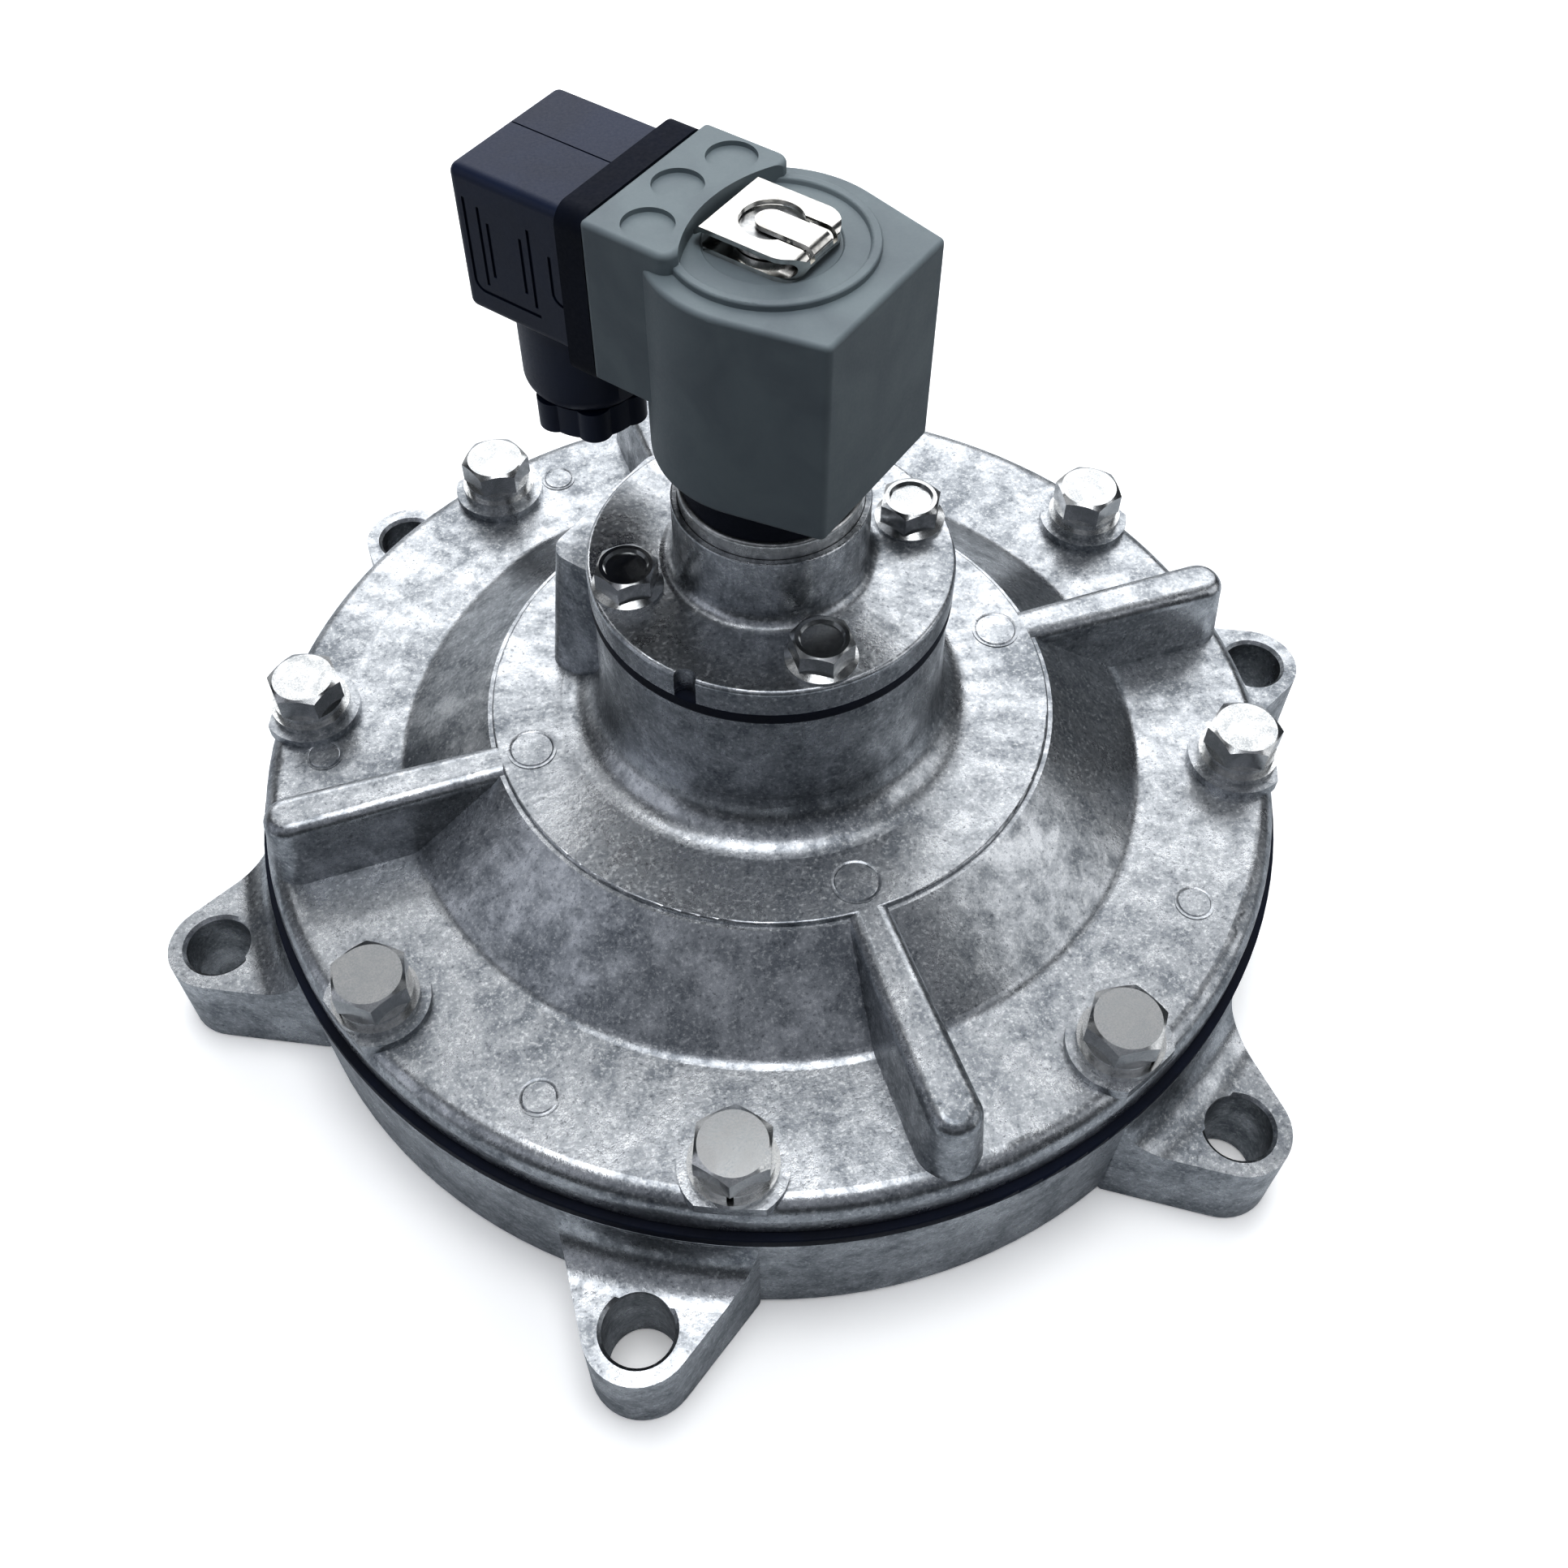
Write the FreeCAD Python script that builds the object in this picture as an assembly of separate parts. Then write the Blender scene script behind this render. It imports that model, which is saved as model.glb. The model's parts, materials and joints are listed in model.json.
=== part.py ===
import FreeCAD, Part
import math
import os

Vector = FreeCAD.Vector
ORIGIN = Vector(0, 0, 0)
UP = Vector(0, 0, 1)

# All sizes are millimetres. The origin is on the valve axis, in the mounting face, and +Z is up.
# +X runs along one rib of the cover, which is also the line of one mounting lug.

# Valve body: cast ring that bolts to the air tank, with the outlet tube in its middle
BODY_HEIGHT = 29.2
BODY_OVERHANG = 1.5
BODY_DRAFT = 0.7
CLAMP_LAND = 10.0
OUTLET_BORE_R = 38.0
OUTLET_WALL = 5.0
OUTLET_LIP_ROUND = 1.2
OUTLET_STEP = 2.0
OUTLET_NECK_HEIGHT = 7.2
BODY_WEB_COUNT = 6
BODY_WEB_T = 6.0
BODY_WEB_HEIGHT = 15.0
TAPPED_DEPTH = 20.0

# Mounting lugs round the body
LUG_COUNT = 6
LUG_REACH = 13.2
LUG_TIP_R = 10.0
LUG_HEIGHT = 19.5
LUG_BASE_HALF = 18.5
LUG_BASE_INSET = 1.8
LUG_BLEND_DROP = 1.1
LUG_HOLE_R = 6.5
LUG_HOLE_CHAMFER = 0.7

# Seals under the body and in the outlet
MOUNT_SEAL_INSET = 7.0
MOUNT_SEAL_WIDTH = 5.0
MOUNT_SEAL_DEPTH = 2.2
OUTLET_SEAL_START = 5.0
OUTLET_SEAL_HEIGHT = 5.0
OUTLET_SEAL_DEPTH = 2.4

# Main diaphragm and the poppet that it carries
DIAPHRAGM_T = 2.6
DIAPHRAGM_EDGE = 1.6
DIAPHRAGM_ROLL_HALF = 8.5
DIAPHRAGM_ROLL_DEPTH = 5.0
DIAPHRAGM_ROLL_ROUND = 2.8
BLEED_HOLE_R = 1.25
BLEED_HOLE_AT = 52.0
SEAT_DISC_T = 3.8
SEAT_DISC_LAP = 3.0
RETAINER_T = 3.0
RETAINER_ROUND = 1.0
RETAINER_BOSS_R = 24.0
RETAINER_BOSS_WALL = 6.0
RETAINER_BOSS_T = 2.0
SEAT_CLEARANCE = 0.2
POPPET_BOLT_R = 5.0
POPPET_HEAD_FLATS = 17.0
POPPET_HEAD_T = 5.0
POPPET_NUT_T = 4.0
MAIN_SPRING_R = 28.0
MAIN_SPRING_WIRE_R = 1.0
MAIN_SPRING_HALF_TURNS = 4

# Cover casting
BOLT_CIRCLE_R = 95.0
COVER_EDGE = 7.8
COVER_RIM_ROUND = 4.0
FLANGE_T = 8.5
DOME_HEIGHT = 23.6
DOME_TOP_R = 55.0
DOME_FOOT_INSET = 20.0
DOME_FOOT_ROUND = 4.0
DOME_LIP = 0.9
COVER_WALL = 6.0
DOME_SLOPE_INSET = 4.5
CHAMBER_RELIEF = 2.5
CHAMBER_ROUND = 2.0
NECK_HEIGHT = 30.0
NECK_R = 32.6
NECK_DRAFT = 0.9
NECK_ROOT_ROUND = 8.0
RIB_COUNT = 4
RIB_END_INSET = 1.2
RIB_HALF_TOP = 4.7
RIB_HALF_FOOT = 6.3
RIB_ROOT_INSET = 0.9
RIB_NOSE_FLAT = 0.25
RIB_TOP_ROUND = 2.6
PAD_HEIGHT = 1.8
PAD_R = 9.8

# Pilot passages inside the neck, and the vent boss on its side
PILOT_CHAMBER_R = 19.5
VENT_TUBE_R = 11.0
VENT_BORE_R = 7.0
VENT_PORT_R = 6.0
VENT_PORT_DEPTH = 12.0
VENT_DUCT_R = 5.0
VENT_DUCT_WALL = 3.0
VENT_DUCT_HEIGHT = 15.0
VENT_FLOOR_T = 4.0
VENT_WEB_T = 4.0
VENT_BOSS_REACH = 39.0
VENT_BOSS_HALF = 17.0
VENT_BOSS_DRAFT = 2.6
VENT_BOSS_ROUND = 4.0

# Cover bolts, spring washers and flat washers
COVER_BOLT_COUNT = 8
COVER_BOLT_R = 4.0
COVER_BOLT_LENGTH = 30.0
COVER_BOLT_FLATS = 13.0
COVER_BOLT_HEAD = 5.3
COVER_BOLT_CHAMFER = 0.4
FLAT_WASHER_R = 8.0
FLAT_WASHER_T = 1.6
SPRING_WASHER_R = 7.2
SPRING_WASHER_T = 2.0
SPRING_WASHER_GAP = 1.2
BOLT_HOLE_CLEARANCE = 0.45
THREAD_CLEARANCE = 0.05
WASHER_BORE_CLEARANCE = 0.2

# Pilot diaphragm, its valve disc and spring
PILOT_DIAPHRAGM_T = 2.3
PILOT_DISC_R = 10.0
PILOT_DISC_T = 3.0
PILOT_STUD_R = 3.0
PILOT_PLATE_R = 8.5
PILOT_PLATE_T = 1.5
PILOT_SPRING_R = 5.6
PILOT_SPRING_WIRE_R = 0.5
PILOT_SPRING_HALF_TURNS = 7

# Pilot cap and its flanged bolts
CAP_R = 33.3
CAP_T = 5.7
CAP_EDGE_ROUND = 0.8
CAP_ROOF = 2.8
CAP_NOTCH_R = 2.1
CAP_NOTCH_ANGLE = 225.0
HUB_R = 17.5
HUB_HEIGHT = 14.4
HUB_ROOT_ROUND = 2.6
HUB_LIP = 1.1
HUB_POCKET_R = 12.5
HUB_POCKET_DEPTH = 10.5
PILOT_BOLT_COUNT = 4
PILOT_BOLT_CIRCLE_R = 26.7
PILOT_BOLT_R = 3.0
PILOT_BOLT_LENGTH = 18.0
PILOT_BOLT_FLATS = 10.0
PILOT_BOLT_HEAD = 5.35
PILOT_BOLT_CHAMFER = 0.3
PILOT_FLANGE_R = 6.4
PILOT_FLANGE_T = 1.3
PILOT_FLANGE_EDGE = 0.65
PILOT_DISH_R = 4.0
PILOT_DISH_DEPTH = 0.7
PILOT_DISH_SLOPE = 0.35

# Solenoid stem, fixed core and plunger
NOZZLE_R = 3.2
NOZZLE_HEIGHT = 1.6
NOZZLE_BORE_R = 1.2
STEM_FLANGE_R = 16.3
STEM_FLANGE_ROUND = 0.8
STEM_PROUD = 3.4
STEM_SEAT_DEPTH = 4.8
STEM_R = 6.5
STEM_BORE_R = 5.0
STEM_CAVITY_R = 9.0
STEM_CAVITY_HEIGHT = 4.0
PLUNGER_CLEARANCE = 0.1
PLUNGER_LENGTH = 31.0
PLUNGER_TRAVEL = 2.0
PLUNGER_STOP_GAP = 0.2
PLUNGER_SEAL_R = 3.6
PLUNGER_SEAL_T = 2.4
PLUNGER_SEAL_PROUD = 1.0
PLUNGER_SPRING_BORE_R = 2.8
PLUNGER_SPRING_DEPTH = 12.0
PLUNGER_SPRING_R = 2.1
PLUNGER_SPRING_WIRE_R = 0.35
PLUNGER_SPRING_HALF_TURNS = 11
CORE_FIT = 0.02
CORE_NECK_R = 4.6
CORE_HEAD_R = 5.8
CORE_HEAD_T = 1.8
CORE_HEAD_CHAMFER = 0.5

# Moulded coil on the stem
COIL_ANGLE = 36.7
COIL_SEAL_R = 15.5
COIL_SEAL_T = 9.0
COIL_FLOAT = 0.1
COIL_BORE_CLEARANCE = 0.1
COIL_HEIGHT = 37.5
COIL_R = 20.0
COIL_BACK = 20.7
COIL_BACK_HALF = 15.7
COIL_BACK_ROUND = 1.2
COIL_EDGE_ROUND = 0.8
COIL_BEAD_R = 15.5
COIL_BEAD_HALF = 0.9
COIL_BEAD_RISE = 1.1
COIL_BEAD_FLANK = 0.3
COIL_DISC_RISE = 0.4
COIL_DISC_BORE_R = 10.6
BLOCK_FACE = 23.6
BLOCK_HALF = 16.0
BLOCK_HEIGHT = 28.3
BLOCK_RISE = 3.3
BLOCK_START = 7.2
BLOCK_ARC_R = 26.0
BLOCK_ARC_AT = 11.0
BLOCK_ROUND = 2.4
BLOCK_FACE_ROUND = 1.0
BLOCK_EDGE_ROUND = 0.9
RECESS_R = 4.1
RECESS_DEPTH = 0.8
RECESS_STEP = 10.6
RECESS_AT = 17.2
RECESS_SAG = 2.4

# Retaining clip of folded strip on the stem head
CLIP_T = 0.8
CLIP_HALF = 7.6
CLIP_BACK = 9.2
CLIP_FRONT = 7.8
CLIP_RISE = 3.9
CLIP_LIP_REACH = 1.8
CLIP_LIP_DROP = 1.8
CLIP_LIP_ROUND = 1.5
CLIP_BACK_ROUND = 4.5
CLIP_FOLD_ROUND = 1.9
CLIP_SEAT_GAP = 0.2
CLIP_SLOT_CLEARANCE = 0.2
CLIP_TONGUE_HALF = 2.4
CLIP_TONGUE_TIP = 2.6
CLIP_SLIT = 1.2
CLIP_EYE_R = 5.0

# Plug connector with its cable gland
GASKET_T = 5.2
GASKET_HALF = 15.6
GASKET_DROP = 2.6
GASKET_ROUND = 3.2
PIN_WINDOW_HALF = 8.5
HOUSING_HALF = 13.7
HOUSING_DEPTH = 22.9
HOUSING_DROP = 2.0
HOUSING_HEIGHT = 26.3
HOUSING_EDGE_ROUND = 1.7
HOUSING_RIM_ROUND = 1.6
HOUSING_WALL = 2.4
HOUSING_SOCKET_DEPTH = 16.0
HOUSING_LINE_DEPTH = 0.4
HOUSING_LINE_WIDTH = 0.6
HOUSING_LINE_TURN_R = 2.2
HOUSING_SEAM_AT = 0.8
HOUSING_SEAM_WIDTH = 0.3
HOUSING_SEAM_DEPTH = 0.2
SOCKET_CLEARANCE = 0.1
# Setback from the plug's end, then drop of the upper and the lower end under its top
HOUSING_LINES = ((5.1, 5.7, 20.1), (6.8, 8.0, 18.0), (13.3, 8.2, 18.3), (15.1, 5.9, 20.3))
# The same, and how far from the end the turned foot reaches
HOUSING_BENT_LINES = ((2.3, 4.9, 22.0, 16.1), (19.0, 9.1, 17.9, 22.9))
TERMINAL_BLOCK_DEPTH = 13.0
TERMINAL_WIDTH = 6.3
TERMINAL_T = 0.8
TERMINAL_REACH = 14.0
TERMINAL_SPREAD = 6.0
TERMINAL_CLEARANCE = 0.15
BARREL_R = 11.3
BARREL_HEIGHT = 18.2
BARREL_AT = 10.4
BARREL_END_ROUND = 3.6
BARREL_BORE_R = 7.0
GLAND_NUT_T = 6.0
GLAND_NUT_R = 10.6
GLAND_LOBE_R = 3.2
GLAND_NUT_CORE_R = 9.3
GLAND_LOBE_COUNT = 6
GLAND_LOBE_START = 43.0
GLAND_NUT_SPIGOT = 6.0
GLAND_NUT_GAP = 0.1
CABLE_BORE_R = 4.0
GLAND_SEAL_HEIGHT = 6.0
GLAND_SEAL_BORE_R = 3.6
SCREW_R = 1.5
SCREW_CLEARANCE = 0.1
SCREW_HEAD_R = 2.8
SCREW_HEAD_T = 2.2
SCREW_RECESS = 3.0
SCREW_BITE = 6.0
SCREW_SLOT = 0.8

# Small rounds that many pieces share, the springs' end gap, and how far a cut runs past a face
MACHINED_ROUND = 0.3
MOULD_ROUND = 0.4
CAST_ROUND = 0.5
CAST_FOOT_ROUND = 0.8
HEX_CHAMFER_ANGLE = 30.0
SPRING_END_GAP = 0.15
PICK_BAND = 0.1
THROUGH = 1.0

# Levels and radii that follow from the sizes above
cover_r = BOLT_CIRCLE_R + COVER_EDGE
body_r = cover_r + BODY_OVERHANG
diaphragm_r = cover_r + DIAPHRAGM_EDGE
chamber_r = BOLT_CIRCLE_R - CLAMP_LAND
outlet_r = OUTLET_BORE_R + OUTLET_WALL
lug_r = body_r + LUG_REACH
lug_blend_r = BODY_HEIGHT - LUG_BLEND_DROP - LUG_HEIGHT
mount_seal_r = chamber_r + MOUNT_SEAL_INSET
outlet_throat_r = OUTLET_BORE_R - OUTLET_STEP
outlet_seat = BODY_HEIGHT - SEAT_DISC_T - SEAT_CLEARANCE
outlet_stop = outlet_seat - OUTLET_NECK_HEIGHT
poppet_r = outlet_r + SEAT_DISC_LAP
diaphragm_roll_r = (poppet_r + chamber_r) / 2
dome_foot_r = BOLT_CIRCLE_R - DOME_FOOT_INSET
bolt_hole_r = COVER_BOLT_R + BOLT_HOLE_CLEARANCE
pilot_hole_r = PILOT_BOLT_R + BOLT_HOLE_CLEARANCE
cover_base = BODY_HEIGHT + DIAPHRAGM_T
flange_top = cover_base + FLANGE_T
pad_top = flange_top + PAD_HEIGHT
dome_top = cover_base + DOME_HEIGHT
chamber_roof = dome_top - COVER_WALL
neck_top = dome_top + NECK_HEIGHT
neck_foot_r = NECK_R + NECK_DRAFT
vent_level = dome_top + VENT_DUCT_HEIGHT
vent_floor = vent_level - VENT_DUCT_R - VENT_FLOOR_T
vent_seat = neck_top - PILOT_DISC_T - SEAT_CLEARANCE
vent_boss_foot = dome_top - COVER_WALL / 2
vent_slope = VENT_BOSS_DRAFT / (neck_top - vent_boss_foot)
vent_mouth = VENT_BOSS_REACH + vent_slope * (neck_top - vent_level + VENT_PORT_R)
cap_base = neck_top + PILOT_DIAPHRAGM_T
cap_top = cap_base + CAP_T
hub_top = cap_top + HUB_HEIGHT
stem_base = hub_top - STEM_SEAT_DEPTH
stem_flange_top = hub_top + STEM_PROUD
pocket_roof = cap_base + HUB_POCKET_DEPTH
nozzle_top = stem_base + NOZZLE_HEIGHT
coil_base = stem_flange_top + COIL_SEAL_T
coil_top = coil_base + COIL_HEIGHT
block_top = coil_top + BLOCK_RISE
block_base = block_top - BLOCK_HEIGHT
plunger_base = nozzle_top + SEAT_CLEARANCE + PLUNGER_SEAL_PROUD
plunger_top = plunger_base + PLUNGER_LENGTH
core_base = plunger_top + PLUNGER_TRAVEL + PLUNGER_STOP_GAP
clip_top = coil_top + CLIP_RISE
housing_front = BLOCK_FACE + GASKET_T
housing_end = housing_front + HOUSING_DEPTH
housing_top = block_top - HOUSING_DROP
housing_base = housing_top - HOUSING_HEIGHT
connector_level = (block_top + block_base) / 2
gland_at = housing_front + BARREL_AT
barrel_base = housing_base - BARREL_HEIGHT
gland_nut_top = barrel_base - GLAND_NUT_GAP
gland_nut_base = gland_nut_top - GLAND_NUT_T


def side(r, z):
    """Point of an upright section through the axis."""
    return Vector(r, 0, z)


def plan(x, y):
    """Point of a view from above."""
    return Vector(x, y, 0)


def rounded_face(corners, place):
    """Flat face with the corners (a, b, radius), each one rounded by a tangent arc."""
    turns = []
    for index, (a, b, radius) in enumerate(corners):
        here = place(a, b)
        if radius == 0:
            turns.append((here, None, here))
            continue
        following = corners[(index + 1) % len(corners)]
        back = (place(corners[index - 1][0], corners[index - 1][1]) - here).normalize()
        ahead = (place(following[0], following[1]) - here).normalize()
        half = back.getAngle(ahead) / 2
        cut = radius / math.tan(half)
        inward = (back + ahead).normalize()
        middle = here + inward * (radius / math.sin(half) - radius)
        turns.append((here + back * cut, middle, here + ahead * cut))
    edges = []
    for index, (start, middle, end) in enumerate(turns):
        if middle is not None:
            edges.append(Part.Arc(start, middle, end).toShape())
        following = turns[(index + 1) % len(turns)][0]
        if end.distanceToPoint(following) > 1e-6:
            edges.append(Part.makeLine(end, following))
    return Part.Face(Part.Wire(edges))


def turned(corners):
    """Solid turned round the valve axis from the half section (r, z, radius)."""
    return rounded_face(corners, side).revolve(ORIGIN, UP, 360)


def plate(corners, bottom, top):
    """Upright prism with the outline (x, y, radius) between two levels."""
    face = rounded_face(corners, plan)
    face.translate(Vector(0, 0, bottom))
    return face.extrude(Vector(0, 0, top - bottom))


def block(x0, x1, y0, y1, z0, z1):
    """Plain box between three pairs of planes."""
    return Part.makeBox(x1 - x0, y1 - y0, z1 - z0, Vector(x0, y0, z0))


def post(radius, bottom, top, x=0, y=0):
    """Upright cylinder between two levels."""
    return Part.makeCylinder(radius, top - bottom, Vector(x, y, bottom))


def tube(outer_r, inner_r, bottom, top, x=0, y=0):
    """Upright ring between two levels."""
    return post(outer_r, bottom, top, x, y).cut(post(inner_r, bottom - THROUGH, top + THROUGH, x, y))


def around(shape, angle):
    """Copy of a shape, turned about the valve axis."""
    copy = shape.copy()
    copy.rotate(ORIGIN, UP, angle)
    return copy


def ring_of(shape, count, start=0.0):
    """Copies of a shape at even steps round the axis."""
    return [around(shape, start + index * 360.0 / count) for index in range(count)]


def on_coil(shape):
    """Shape drawn with the plug towards +Y, turned to where the coil points."""
    return around(shape, COIL_ANGLE)


def cover_bolt_angle():
    """The first cover bolt lies midway between two ribs' bolts."""
    return 180.0 / COVER_BOLT_COUNT


def hexagon(flats, bottom, top):
    """Hexagonal prism about the axis, measured across its flats."""
    radius = flats / math.sqrt(3)
    corners = []
    for index in range(6):
        angle = math.radians(60 * index)
        corners.append((radius * math.cos(angle), radius * math.sin(angle), 0))
    return plate(corners, bottom, top)


def hex_head(flats, bottom, top, chamfer):
    """Hexagonal head whose upper corners are turned off at 30 degrees."""
    outer_r = flats / math.sqrt(3) + THROUGH
    face_r = flats / 2 - chamfer
    drop = (outer_r - face_r) * math.tan(math.radians(HEX_CHAMFER_ANGLE))
    envelope = turned([(0, bottom, 0), (outer_r, bottom, 0), (outer_r, top - drop, 0), (face_r, top, 0),
                       (0, top, 0)])
    return hexagon(flats, bottom, top).common(envelope)


def coil_spring(mean_r, wire_r, seat_low, seat_high, half_turns):
    """Round-wire spring between two flat seats: half turns that lean one way and the other, and so join
    with no kink at the two sides."""
    start = seat_low + wire_r + SPRING_END_GAP
    climb = (seat_high - wire_r - SPRING_END_GAP - start) / half_turns
    arcs = []
    for index in range(half_turns):
        side_sign = 1 - 2 * (index % 2)
        low = start + index * climb
        wire = Part.Face(Part.Wire(Part.makeCircle(wire_r, side(-side_sign * mean_r, low), Vector(0, 1, 0))))
        arcs.append(wire.revolve(side(0, low + climb / 2), side(-side_sign * climb, 2 * mean_r), 180))
    return arcs[0].fuse(arcs[1:])


def lug_outline():
    """Lug seen from above: a round tip joined to the ring by two tapering sides."""
    base_r = body_r - LUG_BASE_INSET
    reach = math.hypot(base_r - lug_r, LUG_BASE_HALF)
    angle = math.atan2(LUG_BASE_HALF, base_r - lug_r) - math.acos(LUG_TIP_R / reach)
    touch_x = lug_r + LUG_TIP_R * math.cos(angle)
    touch_y = LUG_TIP_R * math.sin(angle)
    root_r = chamber_r + CLAMP_LAND / 2
    tip = Part.Arc(plan(touch_x, -touch_y), plan(lug_r + LUG_TIP_R, 0), plan(touch_x, touch_y))
    edges = [Part.makeLine(plan(root_r, -LUG_BASE_HALF), plan(base_r, -LUG_BASE_HALF)),
             Part.makeLine(plan(base_r, -LUG_BASE_HALF), plan(touch_x, -touch_y)),
             tip.toShape(),
             Part.makeLine(plan(touch_x, touch_y), plan(base_r, LUG_BASE_HALF)),
             Part.makeLine(plan(base_r, LUG_BASE_HALF), plan(root_r, LUG_BASE_HALF)),
             Part.makeLine(plan(root_r, LUG_BASE_HALF), plan(root_r, -LUG_BASE_HALF))]
    return Part.Face(Part.Wire(edges))


def lug():
    """Mounting lug with the hollow blend that climbs from its top to the body's upper edge."""
    outline = lug_outline()
    arm = outline.extrude(Vector(0, 0, LUG_HEIGHT))
    blend_top = LUG_HEIGHT + lug_blend_r
    inner_r = chamber_r + CLAMP_LAND / 2
    hollow = lug_blend_r * (1 - math.sqrt(0.5))
    edges = [Part.makeLine(side(inner_r, LUG_HEIGHT), side(inner_r, blend_top)),
             Part.makeLine(side(inner_r, blend_top), side(body_r, blend_top)),
             Part.Arc(side(body_r, blend_top), side(body_r + hollow, LUG_HEIGHT + hollow),
                      side(body_r + lug_blend_r, LUG_HEIGHT)).toShape(),
             Part.makeLine(side(body_r + lug_blend_r, LUG_HEIGHT), side(inner_r, LUG_HEIGHT))]
    skirt = Part.Face(Part.Wire(edges)).revolve(ORIGIN, UP, 360)
    tall = outline.extrude(Vector(0, 0, blend_top))
    return arm.fuse(skirt.common(tall))


def lug_hole():
    """Through hole of a lug, chamfered at the top."""
    hole = post(LUG_HOLE_R, -THROUGH, LUG_HEIGHT + THROUGH, lug_r)
    rim = Part.makeCone(LUG_HOLE_R, LUG_HOLE_R + LUG_HOLE_CHAMFER, LUG_HOLE_CHAMFER,
                        Vector(lug_r, 0, LUG_HEIGHT - LUG_HOLE_CHAMFER))
    return hole.fuse(rim)


def mount_seal_ring():
    """Space of the square-section seal in the mounting face."""
    half = MOUNT_SEAL_WIDTH / 2
    return tube(mount_seal_r + half, mount_seal_r - half, 0, MOUNT_SEAL_DEPTH)


def outlet_seal_ring():
    """Space of the sealing band inside the outlet."""
    top = OUTLET_SEAL_START + OUTLET_SEAL_HEIGHT
    return tube(OUTLET_BORE_R + OUTLET_SEAL_DEPTH, OUTLET_BORE_R, OUTLET_SEAL_START, top)


def valve_body():
    """Cast ring with six lugs, the outlet tube on radial webs and the ring-shaped inlet between. The tube
    has a stop for the blow tube that enters it from below."""
    ring = turned([(chamber_r, 0, 0), (body_r - BODY_DRAFT, 0, CAST_FOOT_ROUND),
                   (body_r, BODY_HEIGHT, CAST_ROUND), (chamber_r, BODY_HEIGHT, CAST_FOOT_ROUND)])
    outlet = turned([(OUTLET_BORE_R, 0, 0), (outlet_r, 0, 0), (outlet_r, outlet_seat, OUTLET_LIP_ROUND),
                     (outlet_throat_r, outlet_seat, OUTLET_LIP_ROUND), (outlet_throat_r, outlet_stop, 0),
                     (OUTLET_BORE_R, outlet_stop, 0)])
    lap = OUTLET_WALL / 2
    web = block(outlet_r - lap, chamber_r + lap, -BODY_WEB_T / 2, BODY_WEB_T / 2, 0, BODY_WEB_HEIGHT)
    body = ring.fuse([outlet] + ring_of(web, BODY_WEB_COUNT) + ring_of(lug(), LUG_COUNT))
    tapped = post(COVER_BOLT_R + THREAD_CLEARANCE, BODY_HEIGHT - TAPPED_DEPTH, BODY_HEIGHT + THROUGH,
                  BOLT_CIRCLE_R)
    holes = ring_of(tapped, COVER_BOLT_COUNT, cover_bolt_angle()) + ring_of(lug_hole(), LUG_COUNT)
    return body.cut(holes + [mount_seal_ring(), outlet_seal_ring()])


def main_diaphragm():
    """Reinforced rubber disc with one rolled groove, clamped between body and cover."""
    low = BODY_HEIGHT
    high = cover_base
    inner_r = POPPET_BOLT_R + BOLT_HOLE_CLEARANCE
    outer = diaphragm_roll_r + DIAPHRAGM_ROLL_HALF
    inner = diaphragm_roll_r - DIAPHRAGM_ROLL_HALF
    flank = DIAPHRAGM_ROLL_HALF / 2
    drop = DIAPHRAGM_ROLL_DEPTH
    bend = DIAPHRAGM_ROLL_ROUND
    disc = turned([(inner_r, low, 0), (inner, low, bend), (inner + flank, low - drop, bend),
                   (outer - flank, low - drop, bend), (outer, low, bend), (diaphragm_r, low, MOULD_ROUND),
                   (diaphragm_r, high, MOULD_ROUND), (outer, high, bend), (outer - flank, high - drop, bend),
                   (inner + flank, high - drop, bend), (inner, high, bend), (inner_r, high, 0)])
    hole = post(bolt_hole_r, low - THROUGH, high + THROUGH, BOLT_CIRCLE_R)
    bleed = post(BLEED_HOLE_R, low - THROUGH, high + THROUGH, BLEED_HOLE_AT)
    return disc.cut(ring_of(hole, COVER_BOLT_COUNT, cover_bolt_angle()) + [bleed])


def main_seat_disc():
    """Facing disc under the diaphragm that closes the outlet."""
    return tube(poppet_r, POPPET_BOLT_R + THREAD_CLEARANCE, BODY_HEIGHT - SEAT_DISC_T, BODY_HEIGHT)


def main_retainer_plate():
    """Plate over the diaphragm, with the low boss that centres the main spring."""
    base = cover_base
    bore = POPPET_BOLT_R + THREAD_CLEARANCE
    step = base + RETAINER_T
    boss_top = step + RETAINER_BOSS_T
    boss_bore = RETAINER_BOSS_R - RETAINER_BOSS_WALL
    return turned([(bore, base, 0), (poppet_r, base, 0), (poppet_r, step, RETAINER_ROUND),
                   (RETAINER_BOSS_R, step, 0), (RETAINER_BOSS_R, boss_top, CAST_ROUND),
                   (boss_bore, boss_top, CAST_ROUND), (boss_bore, step, 0), (bore, step, 0)])


def main_poppet_bolt():
    """Bolt that holds the poppet together, its head in the outlet."""
    head_top = BODY_HEIGHT - SEAT_DISC_T
    head = hexagon(POPPET_HEAD_FLATS, head_top - POPPET_HEAD_T, head_top)
    return head.fuse(post(POPPET_BOLT_R, head_top, cover_base + RETAINER_T + POPPET_NUT_T))


def main_poppet_nut():
    """Thin nut of the poppet bolt."""
    base = cover_base + RETAINER_T
    nut = hexagon(POPPET_HEAD_FLATS, base, base + POPPET_NUT_T)
    return nut.cut(post(POPPET_BOLT_R + THREAD_CLEARANCE, base - THROUGH, base + POPPET_NUT_T + THROUGH))


def main_spring():
    """Spring that presses the poppet on the outlet."""
    return coil_spring(MAIN_SPRING_R, MAIN_SPRING_WIRE_R, cover_base + RETAINER_T, chamber_roof,
                       MAIN_SPRING_HALF_TURNS)


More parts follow.
